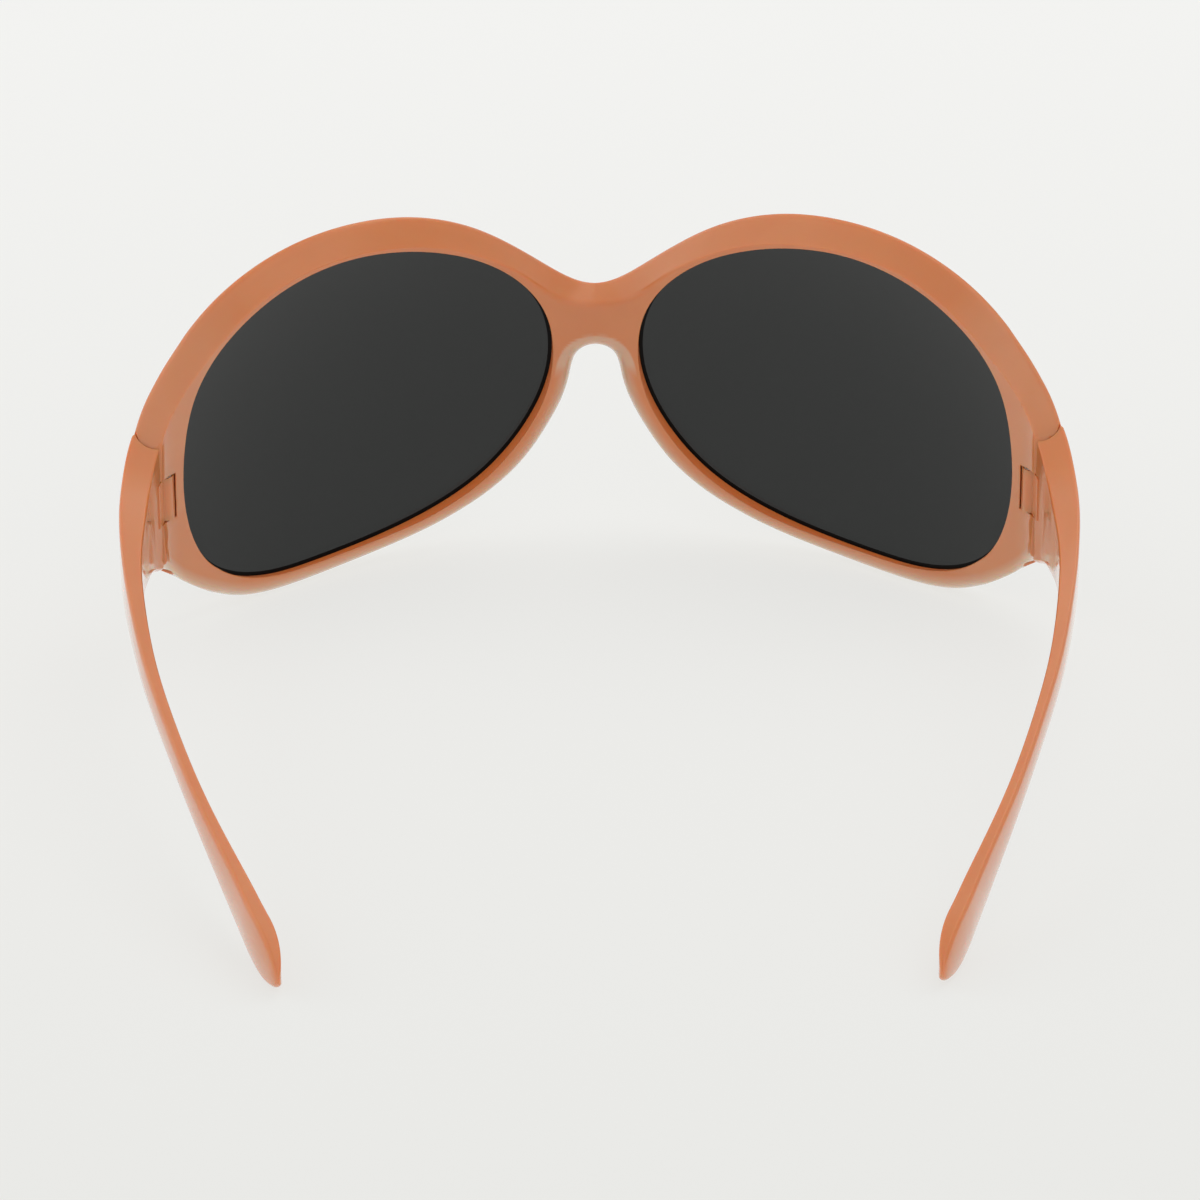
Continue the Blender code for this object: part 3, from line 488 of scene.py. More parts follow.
def spread(inset, depth, count):
    """For each section, places that share out its length and its bending evenly.

    The measure is the section's length so far as a share of the whole, plus the weight times the
    angle that it has turned through; the places cut that measure into equal steps.
    """
    step = np.hypot(np.diff(inset, axis=1), np.diff(depth, axis=1))
    angle = np.unwrap(np.arctan2(np.diff(depth, axis=1), np.diff(inset, axis=1)), axis=1)
    turn = np.abs(np.diff(angle, axis=1))
    turn = np.concatenate([np.zeros((len(turn), 1)), turn], axis=1)
    measure = np.cumsum(step / step.sum(axis=1, keepdims=True) + BEND_WEIGHT * turn, axis=1)
    measure = np.concatenate([np.zeros((len(measure), 1)), measure], axis=1)
    measure /= measure[:, -1:]
    row = 2.0 * np.arange(len(inset))[:, None]
    wanted = np.linspace(0.0, 1.0, count)[None, :]
    ends = (row + wanted).ravel()
    known = (row + measure).ravel()
    return (np.interp(ends, known, inset.ravel()).reshape(-1, count),
            np.interp(ends, known, depth.ravel()).reshape(-1, count))


class Sheet:
    """The bent sheet that the front is drawn on, with its outlines.

    A place on it is s along from the centre plane and z up. A depth t is square to it, towards the
    wearer. The sheet has a wide bend round the face, a corner bend at its end, a crown from brow to
    cheek that flattens towards the end piece, and a lean.
    """

    def __init__(self, scene):
        self.front = scene.sunglasses_front
        self.lens = scene.sunglasses_lens
        self.hinge = scene.sunglasses_hinge
        self.temple = scene.sunglasses_temple
        self.brow = self.centred(BROW_SHARES)
        self.cheek = self.centred(CHEEK_SHARES)
        self.ridge = self.centred(RIDGE_SHARES)
        self.opening = spline(self.places(LENS_SHARES), closed=True)
        self.eye = np.array(self.places([EYE_CENTRE_SHARES])[0])
        self.groove_front = self.lens.thickness - self.lens.seat + self.lens.gap
        self.back_depth = self.lens.groove_back + self.front.back_wall
        place = np.array([self.front.half_span - self.hinge.inset])
        foot = self.level_at(self.cheek, place[0]) - self.front.foot_cut
        self.hinge_level = foot + self.hinge.rise
        self.seat_level = foot + self.hinge.seat_rise
        self.head_level = self.level_at(self.brow, place[0]) - self.temple.head_drop
        axis = self.solid(place, np.array([self.hinge_level]), np.array([self.hinge.depth]))[0]
        self.hinge_x = axis[0]
        self.hinge_y = axis[1]

    def places(self, shares):
        """Shares of the half span and of the height, turned into places on the sheet."""
        return [(along * self.front.half_span, up * self.front.height) for along, up in shares]

    def centred(self, shares):
        """Curve that leaves the centre plane square to it, because its mirror image joins on."""
        points = self.places(shares)
        mirrored = [(-s, z) for s, z in reversed(points[1:3])]
        return spline(mirrored + points)[len(mirrored) * SPLINE_STEPS:]

    def level_at(self, curve, place):
        """Height of the curve's point that is nearest to the place along the sheet."""
        return curve[np.abs(curve[:, 0] - place).argmin(), 1]

    def base(self, s, z):
        """Point of the sheet: arc of the wide bend, then arc of the corner bend, moved along the
        bend's own normal by the crown, a parabola in height, and back by the lean."""
        f = self.front
        corner_start = f.half_span - f.corner_reach
        wide = np.minimum(s, corner_start) / f.wrap_radius
        angle = wide + np.maximum(s - corner_start, 0.0) / f.corner_radius
        x = f.wrap_radius * np.sin(wide) + f.corner_radius * (np.sin(angle) - np.sin(wide))
        y = f.wrap_radius * (1.0 - np.cos(wide)) + f.corner_radius * (np.cos(wide) - np.cos(angle))
        fade = np.clip((s - f.half_span + f.fade_reach) / f.fade_length, 0.0, 1.0)
        fade = 1.0 - (1.0 - f.end_crown) * smooth(fade)
        rise = z - f.crown_level
        crown = rise * rise / (2.0 * f.crown_radius) * fade
        return np.stack([x - np.sin(angle) * crown,
                         y + np.cos(angle) * crown + f.lean * rise - f.setback,
                         z + 0.0 * s], axis=-1)

    def solid(self, s, z, t):
        """Point at depth t: the sheet's point moved along the cross product of its two slopes."""
        along = self.base(s + SLOPE_PROBE, z) - self.base(s - SLOPE_PROBE, z)
        up = self.base(s, z + SLOPE_PROBE) - self.base(s, z - SLOPE_PROBE)
        square = np.cross(up, along)
        square /= np.linalg.norm(square, axis=-1, keepdims=True)
        square *= np.where(square[..., 1:2] + np.abs(square[..., :1]) < 0.0, -1.0, 1.0)
        return self.base(s, z) + square * np.asarray(t)[..., None]

    def polar(self, points):
        """Direction and distance of the points from the eye centre."""
        away = points - self.eye
        return (np.arctan2(away[..., 1], away[..., 0]) % (2.0 * math.pi),
                np.hypot(away[..., 0], away[..., 1]))

    def radius_of(self, curve, angle):
        """Distance from the eye centre to the curve, in the given directions."""
        turn, radius = self.polar(curve)
        order = np.argsort(turn)
        return np.interp(angle, turn[order], radius[order], period=2.0 * math.pi)

    def opening_point(self, angle, outward=0.0):
        """Point of the lens opening in the given direction, moved square to its edge."""
        edge = []
        for shift in (-ANGLE_PROBE, 0.0, ANGLE_PROBE):
            turn = angle + shift
            away = np.stack([np.cos(turn), np.sin(turn)], axis=-1)
            edge.append(self.eye + self.radius_of(self.opening, turn)[:, None] * away)
        run = edge[2] - edge[0]
        run /= np.linalg.norm(run, axis=1, keepdims=True)
        return edge[1] + outward * np.stack([run[:, 1], -run[:, 0]], axis=-1)

    def front_face(self, points):
        """Depth of the front face: level, with a low lip round the lens that dies away, and quarter
        circles at the brow and cheek edges."""
        f = self.front
        brow_gap, _ = distance_to(points, self.brow)
        cheek_gap, _ = distance_to(points, self.cheek)
        opening_gap, _ = distance_to(points, self.opening)
        face = f.front_depth + f.front_ease * np.exp(-opening_gap / f.front_depth)
        brow_fall = corner_drop(brow_gap, f.edge_round)
        return np.maximum(brow_fall, corner_drop(cheek_gap, f.lower_round)) - face

    def pad_share(self, points):
        """One along the nose pads, with smooth steps out up to the bridge and along the cheek."""
        return smooth(np.interp(np.degrees(self.polar(points)[0]), PAD_TURNS, (0.0, 1.0, 1.0, 0.0)))

    def nose_end(self):
        """Place along the sheet where the nose leg ends."""
        return CHEEK_SHARES[NOSE_END][0] * self.front.half_span

    def back_face(self, points, ridge_round):
        """Depth of the back face: level, raised at the pads, with a band that falls in a straight
        slope from the ridge to the brow edge, a parabola that rounds the ridge, and a quarter
        circle at the cheek edge that widens over the nose and narrows at the end piece."""
        f = self.front
        brow_gap, _ = distance_to(points, self.brow)
        ridge_gap, _ = distance_to(points, self.ridge)
        cheek_gap, cheek_s = distance_to(points, self.cheek)
        turn, radius = self.polar(points)
        ridge_start, _ = self.polar(self.ridge[0])
        outside = radius > self.radius_of(self.ridge, turn)
        outside &= (turn <= ridge_start) | (turn > THREE_QUARTER_TURN)
        past = np.where(outside, ridge_gap, -ridge_gap)
        whole = self.back_depth + f.front_depth - f.edge_round - f.edge_land
        slope = whole / np.maximum(past + brow_gap, f.edge_land)
        cosine = 1.0 / np.sqrt(1.0 + slope * slope)
        reach = np.clip(past / ridge_round, -1.0, cosine)
        u = (1.0 - np.sqrt(np.maximum(1.0 - (1.0 - cosine) * (1.0 + reach), 0.0))) / (1.0 - cosine)
        beyond = np.maximum(past - ridge_round * cosine, 0.0)
        band = ridge_round * slope * cosine * u * u + slope * beyond
        band = np.where(brow_gap < cheek_gap, band, 0.0)
        nose_start = CHEEK_SHARES[NOSE_START][0] * f.half_span
        end_start = f.half_span - 2.0 * f.corner_reach
        places = (0.0, nose_start, self.nose_end(), end_start, end_start + 0.5 * f.corner_reach)
        corner = np.interp(cheek_s, places, (f.notch_round, f.nose_round, f.lower_round,
                                             f.lower_round, f.end_round))
        return (self.back_depth + f.pad_rise * self.pad_share(points)
                - np.maximum(band, corner_drop(cheek_gap, corner)))

    def stations(self):
        """Points round one half of the front, which of them lie on the centre plane, and which lie
        along the brow."""
        f = self.front
        brow = even_steps(self.brow, f.brow_stations)
        cheek = even_steps(self.cheek, f.cheek_stations)[::-1]
        end = np.linspace(brow[-1], cheek[0], END_STEPS + 1)[1:-1]
        tall = brow[0, 1] - cheek[-1, 1]
        turn = np.linspace(0.0, math.pi / 2.0, NOTCH_STEPS + 1)[1:]
        lower = f.notch_round * (1.0 - np.cos(turn)) / tall
        upper = 1.0 - np.array(BRIDGE_STEPS)
        middle = np.linspace(lower[-1], upper[0], CENTRE_STEPS + 1)[1:-1]
        rise = np.concatenate([lower, middle, upper])[:, None]
        centre = cheek[-1] + (brow[0] - cheek[-1]) * rise
        stations = np.vstack([brow, end, cheek, centre])
        on_centre = np.zeros(len(stations), dtype=bool)
        on_centre[len(stations) - len(centre) - 1:] = True
        on_centre[0] = True
        along_brow = np.zeros(len(stations), dtype=bool)
        along_brow[:len(brow)] = True
        return stations, on_centre, along_brow


def front_half(sheet):
    """One half of the front as a closed section carried round the lens opening.

    Each section lies along a ray from the opening out to the edge. It runs from the front lip over
    the front face and its corner, up the edge, over the band or the round corner and the back face
    to the opening, and round the lens groove. Its points are a place on the ray and a depth.
    """
    f = sheet.front
    outer, on_centre, along_brow = sheet.stations()
    count = len(outer)
    turn, _ = sheet.polar(outer)
    inner = sheet.opening_point(turn)
    ray = outer - inner
    width = np.linalg.norm(ray, axis=1)
    ray /= width[:, None]

    def place(inset):
        """Places on the rays, at the given distances in from the edge."""
        return outer[:, None] - ray[:, None] * inset[..., None]

    lip = np.minimum(f.lip_round, LIP_SHARE * width)
    start = width - np.minimum(f.flare, FLARE_SHARE * width)
    share = np.linspace(0.0, 1.0, FACE_SAMPLES)[None, :] ** 2
    inset = (start - lip)[:, None] * share[:, ::-1]
    inset = np.column_stack([start, inset])
    depth = sheet.front_face(place(inset).reshape(-1, 2)).reshape(count, -1)
    corner = np.column_stack([start, depth[:, 0]])
    flare = np.column_stack([width - sheet.lens.front_setback - start,
                             -sheet.groove_front - depth[:, 0]])
    flare *= (lip / np.linalg.norm(flare, axis=1))[:, None]
    lip_bend = bent(corner + flare, corner, np.column_stack([inset[:, 1], depth[:, 1]]),
                    BEND_STEPS)
    face_inset, face_depth = spread(inset[:, 1:], depth[:, 1:], FACE_STEPS)

    soft = np.interp(outer[:, 0], BRIDGE_PLACES, (f.bridge_round, f.ridge_round))
    ridge_reach = sheet.polar(outer)[1] - sheet.radius_of(sheet.ridge, turn)
    land = np.maximum(width - ridge_reach, f.ridge_round)
    soft = np.where(along_brow, np.minimum(soft, RIDGE_BEND_SHARE * land), soft)
    back_lip = np.where(along_brow, np.minimum(lip, BACK_LIP_SHARE * land), lip)
    edge = np.where(along_brow, f.edge_land, f.edge_land * CHEEK_LAND_SHARE)
    edge = np.minimum(edge, EDGE_SHARE * width)
    first = edge[:, None] * np.array(BEND_PLACES)[None, :]
    bends = len(BEND_PLACES)
    share = np.linspace(0.0, 1.0, BACK_SAMPLES)[None, :] ** BACK_CROWDING
    inset = edge[:, None] + (width - back_lip - edge)[:, None] * share
    inset = np.column_stack([first, inset, width])
    soft_all = np.repeat(soft, inset.shape[1])
    depth = sheet.back_face(place(inset).reshape(-1, 2), soft_all).reshape(count, -1)
    edge_corner = np.column_stack([0.0 * edge, depth[:, 0]])
    edge_bend = bent(edge_corner - np.column_stack([0.0 * edge, EDGE_DROP_SHARE * edge]),
                     edge_corner, np.column_stack([edge, depth[:, bends]]),
                     BEND_STEPS)[:, :-1]
    on_surface = np.stack([inset[:, :bends], depth[:, :bends]], axis=-1)
    edge_bend = np.where(along_brow[:, None, None], edge_bend, on_surface)
    back_inset, back_depth = spread(inset[:, bends:-1], depth[:, bends:-1], BACK_STEPS)
    corner = np.column_stack([width, depth[:, -1]])
    back_bend = bent(np.column_stack([inset[:, -2], depth[:, -2]]), corner,
                     corner - np.column_stack([0.0 * lip, back_lip]), BEND_STEPS)[:, 1:]

    insets, depths = (
        np.column_stack([lip_bend[..., k], face[:, 1:], edge_bend[..., k], back, back_bend[..., k]])
        for k, face, back in ((0, face_inset, back_inset), (1, face_depth, back_depth)))
    places = place(insets)
    groove = sheet.opening_point(turn, sheet.lens.groove_depth)
    seat = sheet.opening_point(turn, sheet.lens.front_setback)
    places = np.concatenate([places, np.stack([inner, groove, groove, seat], axis=1)], axis=1)
    walls = np.repeat([[sheet.lens.groove_back, -sheet.groove_front]], 2, axis=1)
    depths = np.column_stack([depths, np.repeat(walls, count, axis=0)])
    points = sheet.solid(places[..., 0], places[..., 1], depths)
    points[..., 2] -= f.foot_cut
    wall = lip_bend.shape[1] + face_inset.shape[1] - 2
    points[on_centre, wall, 0] = 0.0
    points[on_centre, wall + 1, 0] = 0.0
    # Painted light: a pale share near the cheek edge, under the nose notch and on the end pieces
    # stands in for the light that these edges and undersides catch; the opening walls get minus one
    # for their painted glow
    gap, cheek_s = distance_to(places.reshape(-1, 2), sheet.cheek)
    thin = np.clip(1.0 - gap / f.painted_light_reach, 0.0, 1.0) ** FRONT_FADE
    nose_start = CHEEK_SHARES[NOSE_START][0] * f.half_span
    notch = np.clip((nose_start - cheek_s) / f.edge_round, 0.0, 1.0)
    notch *= np.clip((f.notch_round - gap) / f.edge_land, 0.0, 1.0)
    end = f.end_painted_light * ramp(places[..., 0] / f.half_span, *END_PLACES)
    thin = np.maximum(np.maximum(thin, f.notch_painted_light * notch).reshape(depths.shape), end)
    thin[:, OPENING_WALL] = -1.0
    thin[:, GROOVE] = 0.0
    return points, on_centre, wall, thin


def front_mesh(sheet):
    """Both halves of the front joined along the centre plane: points, four-sided faces, and the
    share of painted pale highlight at each point, minus one on the walls of the lens openings,
    which get a painted glow."""
    half, on_centre, wall, thin = front_half(sheet)
    stations, loops = half.shape[:2]
    count = stations * loops
    index = np.arange(count).reshape(stations, loops)
    following = np.roll(index, -1, axis=0)
    quads = np.stack([index, np.roll(index, -1, axis=1), np.roll(following, -1, axis=1), following],
                     axis=-1)
    keep = np.ones((stations, loops), dtype=bool)
    keep[on_centre & np.roll(on_centre, -1), wall] = False
    quads = quads[keep]
    points = half.reshape(-1, 3)
    shared = np.zeros((stations, loops), dtype=bool)
    shared[on_centre, wall] = True
    shared[on_centre, wall + 1] = True
    shared = shared.ravel()
    twin = np.where(shared, np.arange(count), count + np.cumsum(~shared) - 1)
    mirrored = points[~shared] * MIRROR
    thin = np.concatenate([thin.ravel(), thin.ravel()[~shared]])
    return np.vstack([points, mirrored]), np.vstack([quads, twin[quads][:, ::-1]]), thin


def mesh_object(name, points, faces, finishes, materials=None, sharp=CREASE, thin=None):
    """Object at the origin whose mesh holds the points, with smooth shading and sharp creases."""
    mesh = bpy.data.meshes.new(name)
    mesh.from_pydata(points.tolist(), [], [list(face) for face in faces])
    fix = bmesh.new()
    fix.from_mesh(mesh)
    bmesh.ops.recalc_face_normals(fix, faces=fix.faces)
    fix.to_mesh(mesh)
    fix.free()
    if thin is not None:
        mesh.attributes.new("thin", "FLOAT", "POINT").data.foreach_set("value", thin)
    made = bpy.data.objects.new(name, mesh)
    for finish in finishes:
        mesh.materials.append(finish)
    if materials is not None:
        mesh.polygons.foreach_set("material_index", np.asarray(materials, dtype=np.int32))
    bpy.context.scene.collection.objects.link(made)
    shade(made, sharp)
    return made


def shade(made, sharp):
    """Smooth shading, with a crease where faces meet at more than the angle in degrees."""
    made.data.shade_smooth()
    made.data.set_sharp_from_angle(angle=math.radians(sharp))


def prism(name, plan, low, high, mirrored, finish):
    """Upright block over a plan outline, from one level to another."""
    plan = np.asarray(plan, dtype=float)
    if mirrored:
        plan = plan * MIRROR[:2]
    count = len(plan)
    points = np.vstack([np.column_stack([plan, np.full(count, low)]),
                        np.column_stack([plan, np.full(count, high)])])
    faces = [tuple(range(count))[::-1], tuple(range(count, 2 * count))]
    faces += [(i, (i + 1) % count, count + (i + 1) % count, count + i) for i in range(count)]
    return mesh_object(name, points, faces, [finish])


def ring_quads(rings, around):
    """Numbers of the points of closed rings, and the four-sided faces between the rings."""
    index = np.arange(rings * around).reshape(rings, around)
    beside = np.roll(index, -1, axis=1)
    return index, np.stack([index[:-1], beside[:-1], beside[1:], index[1:]], axis=-1)


def fan(ring, pole):
    """Three-sided faces from a ring to a pole."""
    return [[a, b, pole] for a, b in zip(ring.tolist(), np.roll(ring, -1).tolist())]


def turned(name, sheet, profile, mirrored, finish, thin=0.0):
    """Round piece about the hinge axis: a profile of radius and level carried round a circle."""
    angle = np.linspace(0.0, 2.0 * math.pi, ROUND_SIDES, endpoint=False)
    profile = np.asarray(profile, dtype=float)
    x = sheet.hinge_x + profile[:, :1] * np.cos(angle)
    y = sheet.hinge_y + profile[:, :1] * np.sin(angle)
    if mirrored:
        x = -x
    level = np.repeat(profile[:, 1:], ROUND_SIDES, axis=1)
    points = np.stack([x, y, level], axis=-1).reshape(-1, 3)
    index, quads = ring_quads(len(profile), ROUND_SIDES)
    faces = quads.reshape(-1, 4).tolist() + [index[0, ::-1].tolist(), index[-1].tolist()]
    return mesh_object(name, points, faces, [finish], thin=np.full(len(points), thin))


def arc_plan(sheet, radius, start, end, shift=(0.0, 0.0)):
    """Arc in plan about the hinge axis, or beside it, from one direction to another."""
    angle = np.linspace(start, end, ARC_STEPS)
    return np.column_stack([sheet.hinge_x + shift[0] + radius * np.cos(angle),
                            sheet.hinge_y + shift[1] + radius * np.sin(angle)])


def hinge_point(sheet, direction, forward, sideways):
    """Plan point reached from the hinge axis along a direction and square to it, to its right."""
    return (sheet.hinge_x + forward * math.cos(direction) + sideways * math.sin(direction),
            sheet.hinge_y + forward * math.sin(direction) - sideways * math.cos(direction))


def end_piece_tools(sheet, mirrored, finish):
    """Seam, tongue slot and screw hole of one end piece."""
    h = sheet.hinge
    reach = h.knuckle_radius + h.margin
    top = sheet.front.height + h.margin
    seam = np.vstack([
        arc_plan(sheet, h.knuckle_radius, h.butt_angle, h.seam_end_angle, h.seam_shift),
        arc_plan(sheet, reach, h.seam_end_angle, h.butt_angle, h.seam_shift)])
    radius = h.tongue_radius + h.slot_gap
    wall = arc_plan(sheet, radius, h.wall_angle, h.open_angle + THREE_QUARTER_TURN)
    outward = reach * np.array([math.cos(h.face_angle), math.sin(h.face_angle)])
    slot = np.vstack([wall, [hinge_point(sheet, h.open_angle, reach, radius)], [wall[0] + outward]])
    low = sheet.hinge_level - h.slot_height / 2.0
    high = sheet.hinge_level + h.slot_height / 2.0
    profile = [(h.head_hole, -h.margin), (h.head_hole, sheet.seat_level),
               (h.screw_hole, sheet.seat_level), (h.screw_hole, sheet.hinge_level),
               (h.insert_hole, sheet.hinge_level), (h.insert_hole, high + h.insert_reach)]
    return [(prism("seam_tool", seam, -h.margin, top, mirrored, finish), "DIFFERENCE"),
            (prism("slot_tool", slot, low, high, mirrored, finish), "DIFFERENCE"),
            # The screw's hole carries painted light on its walls, which lightens the shade in the
            # recess
            (turned("screw_tool", sheet, profile, mirrored, finish, thin=h.mouth_painted_light),
             "DIFFERENCE")]


def temple_head_tools(sheet, mirrored, finish):
    """Hollow seam, hinge tongue and screw hole of one temple."""
    h = sheet.hinge
    reach = h.knuckle_radius + h.margin
    top = sheet.front.height + h.margin
    radius = h.knuckle_radius + h.knuckle_gap
    near = h.butt_angle + math.asin(h.knuckle_gap / radius)
    far = 2.0 * math.pi + h.butt_angle + math.asin(h.knuckle_gap / reach)
    seam = np.vstack([arc_plan(sheet, radius, near, h.seam_end_angle, h.seam_shift),
                      arc_plan(sheet, reach, h.seam_end_angle, far, h.seam_shift)])
    root = radius + h.tongue_root
    tongue = np.vstack([
        arc_plan(sheet, h.tongue_radius, h.neck_angle, h.open_angle + THREE_QUARTER_TURN),
        [hinge_point(sheet, h.open_angle, root, h.tongue_radius)],
        [hinge_point(sheet, h.open_angle, root, -h.root_inset)]])
    low = sheet.hinge_level - h.tongue_height / 2.0
    high = sheet.hinge_level + h.tongue_height / 2.0
    core = h.tongue_core / 2.0
    profile = [(h.washer_recess, low - h.slot_gap), (h.washer_recess, sheet.hinge_level - core),
               (h.screw_hole, sheet.hinge_level - core), (h.screw_hole, sheet.hinge_level + core),
               (h.washer_recess, sheet.hinge_level + core), (h.washer_recess, high + h.slot_gap)]
    return [(prism("temple_seam_tool", seam, -h.margin, top, mirrored, finish), "DIFFERENCE"),
            (prism("tongue_tool", tongue, low, high, mirrored, finish), "UNION"),
            (turned("tongue_bore_tool", sheet, profile, mirrored, finish), "DIFFERENCE")]


def table_tool(sheet, finish):
    """Block under the table level, which leaves the flats that the part rests on."""
    reach = sheet.front.half_span + sheet.hinge.margin
    back = sheet.hinge_y + sheet.temple.length + sheet.hinge.margin
    plan = [(-reach, -reach), (reach, -reach), (reach, back), (-reach, back)]
    return prism("table_tool", plan, -sheet.hinge.margin, 0.0, False, finish)


def carve(target, tools):
    """Cuts or joins the tools in turn, keeps the result as the mesh and drops the tools."""
    for tool, operation in tools:
        step = target.modifiers.new(tool.name, "BOOLEAN")
        step.operation = operation
        step.object = tool
        step.solver = "EXACT"
    bpy.context.view_layer.update()
    graph = bpy.context.evaluated_depsgraph_get()
    carved = bpy.data.meshes.new_from_object(target.evaluated_get(graph), depsgraph=graph)
    carved.name = target.name
    target.modifiers.clear()
    target.data = carved
    for tool, _ in tools:
        bpy.data.objects.remove(tool, do_unlink=True)
    shade(target, CREASE)


def temple_grid(sheet):
    """Sections carried along the temple, closed by a point at the rounded tip.

    Each section is a box with four round corners and sides that bulge in a parabola; its height and
    thickness shrink as a quarter ellipse over the tip.
    """
    t = sheet.temple
    sizes = (t.length, -t.draw_in, sheet.head_level, sheet.head_level, t.thickness, t.top_fall)
    rows = spline([tuple(share * size for share, size in zip(row, sizes)) for row in TEMPLE_SHARES])
    rows = even_steps(rows, TEMPLE_SAMPLES)
    start = rows[0, 0]
    end = rows[-1, 0]
    tip_turn = np.linspace(0.0, math.pi / 2.0, TIP_STEPS + 1)[1:-1]
    places = np.concatenate([np.linspace(start, end - t.tip_round, t.stations),
                             end - t.tip_round * (1.0 - np.sin(tip_turn)), [end]])
    shrink = np.concatenate([np.ones(t.stations), np.cos(tip_turn), [0.0]])
    y, x, top, bottom, thickness, fall = [np.interp(places, rows[:, 0], row) for row in rows.T]
    heading = np.arctan2(np.gradient(y), np.gradient(x))
    across = np.column_stack([np.sin(heading), -np.cos(heading)])
    middle = (top + bottom) / 2.0
    tall = (top - bottom) / 2.0 * shrink
    wide = thickness / 2.0 * shrink
    limit = CORNER_SHARE * np.minimum(tall, wide)
    along = places / t.length
    paddle = smooth(ramp(along, *BULGE_PLACES))
    corners = (np.minimum(t.outer_round + (t.paddle_round - t.outer_round) * paddle, limit),
               np.minimum(t.inner_round, limit), np.minimum(t.round, limit),
               np.minimum(t.round, limit))
    arc = np.linspace(0.0, math.pi / 2.0, CORNER_STEPS + 1)
    run = np.linspace(0.0, 1.0, SIDE_STEPS + 1)[None, 1:-1]
    rounds = []
    for quarter, corner in enumerate(corners):
        turn = arc + quarter * math.pi / 2.0
        out = 1.0 if quarter in (0, 3) else -1.0
        up = 1.0 if quarter in (0, 1) else -1.0
        rounds.append(np.stack(
            [out * (wide - corner)[:, None] + corner[:, None] * np.cos(turn)[None, :],
             up * (tall - corner)[:, None] + corner[:, None] * np.sin(turn)[None, :]]))
    section = []
    for bend, following in zip(rounds, rounds[1:] + rounds[:1]):
        section += [bend, bend[:, :, -1:] * (1.0 - run) + following[:, :, :1] * run]
    side, level = np.concatenate(section, axis=2)
    half = np.maximum(tall, t.inner_round)[:, None]
    slant = side / np.maximum(wide, t.inner_round)[:, None]
    bulge = t.crown * paddle[:, None] * wide[:, None] * (level / half) ** 2
    side = side - bulge * np.clip(0.5 + 0.5 * slant, 0.0, 1.0)
    out = 0.5 * np.minimum(OUTWARD_SPEED * paddle, 1.0) + 0.5 * ramp(along, *OUTWARD_PLACES)
    back_in = TIP_RETURN * smooth(ramp(along, *INWARD_PLACES))
    side = side + (t.shift * (out - back_in))[:, None]
    level = level + np.clip(level / half, 0.0, 1.0) * slant * fall[:, None] / 2.0
    x = sheet.hinge_x + sheet.hinge.seam_shift[0] + x
    points = np.stack([x[:, None] + across[:, :1] * side,
                       sheet.hinge_y + y[:, None] + across[:, 1:] * side,
                       middle[:, None] + level], axis=-1)
    points[..., 2] -= sheet.front.foot_cut
    # Painted highlight: a pale share that rises towards the lower edge of the outer side and grows
    # in over the stretch after the hinge
    height = np.clip(0.5 - 0.5 * (points[..., 2] - middle[:, None]) / half, 0.0, 1.0)
    thin = t.thin * height ** TEMPLE_FADE * np.clip(0.5 + SIDE_FADE * slant, 0.0, 1.0)
    thin *= ramp(along, *PAINTED_LIGHT_PLACES)[:, None]
    return points, thin


def temple_mesh(sheet, mirrored):
    """Points and faces of one uncut temple, and its share of painted pale highlight at each point.
    """
    grid, thin = temple_grid(sheet)
    thin = np.concatenate([thin[:-1].ravel(), [thin[-1].mean()]])
    stations, around = grid.shape[0] - 1, grid.shape[1]
    points = np.vstack([grid[:-1].reshape(-1, 3), grid[-1].mean(axis=0)[None, :]])
    if mirrored:
        points = points * MIRROR
    index, quads = ring_quads(stations, around)
    faces = quads.reshape(-1, 4).tolist() + [index[0].tolist()] + fan(index[-1], len(points) - 1)
    return points, faces, thin


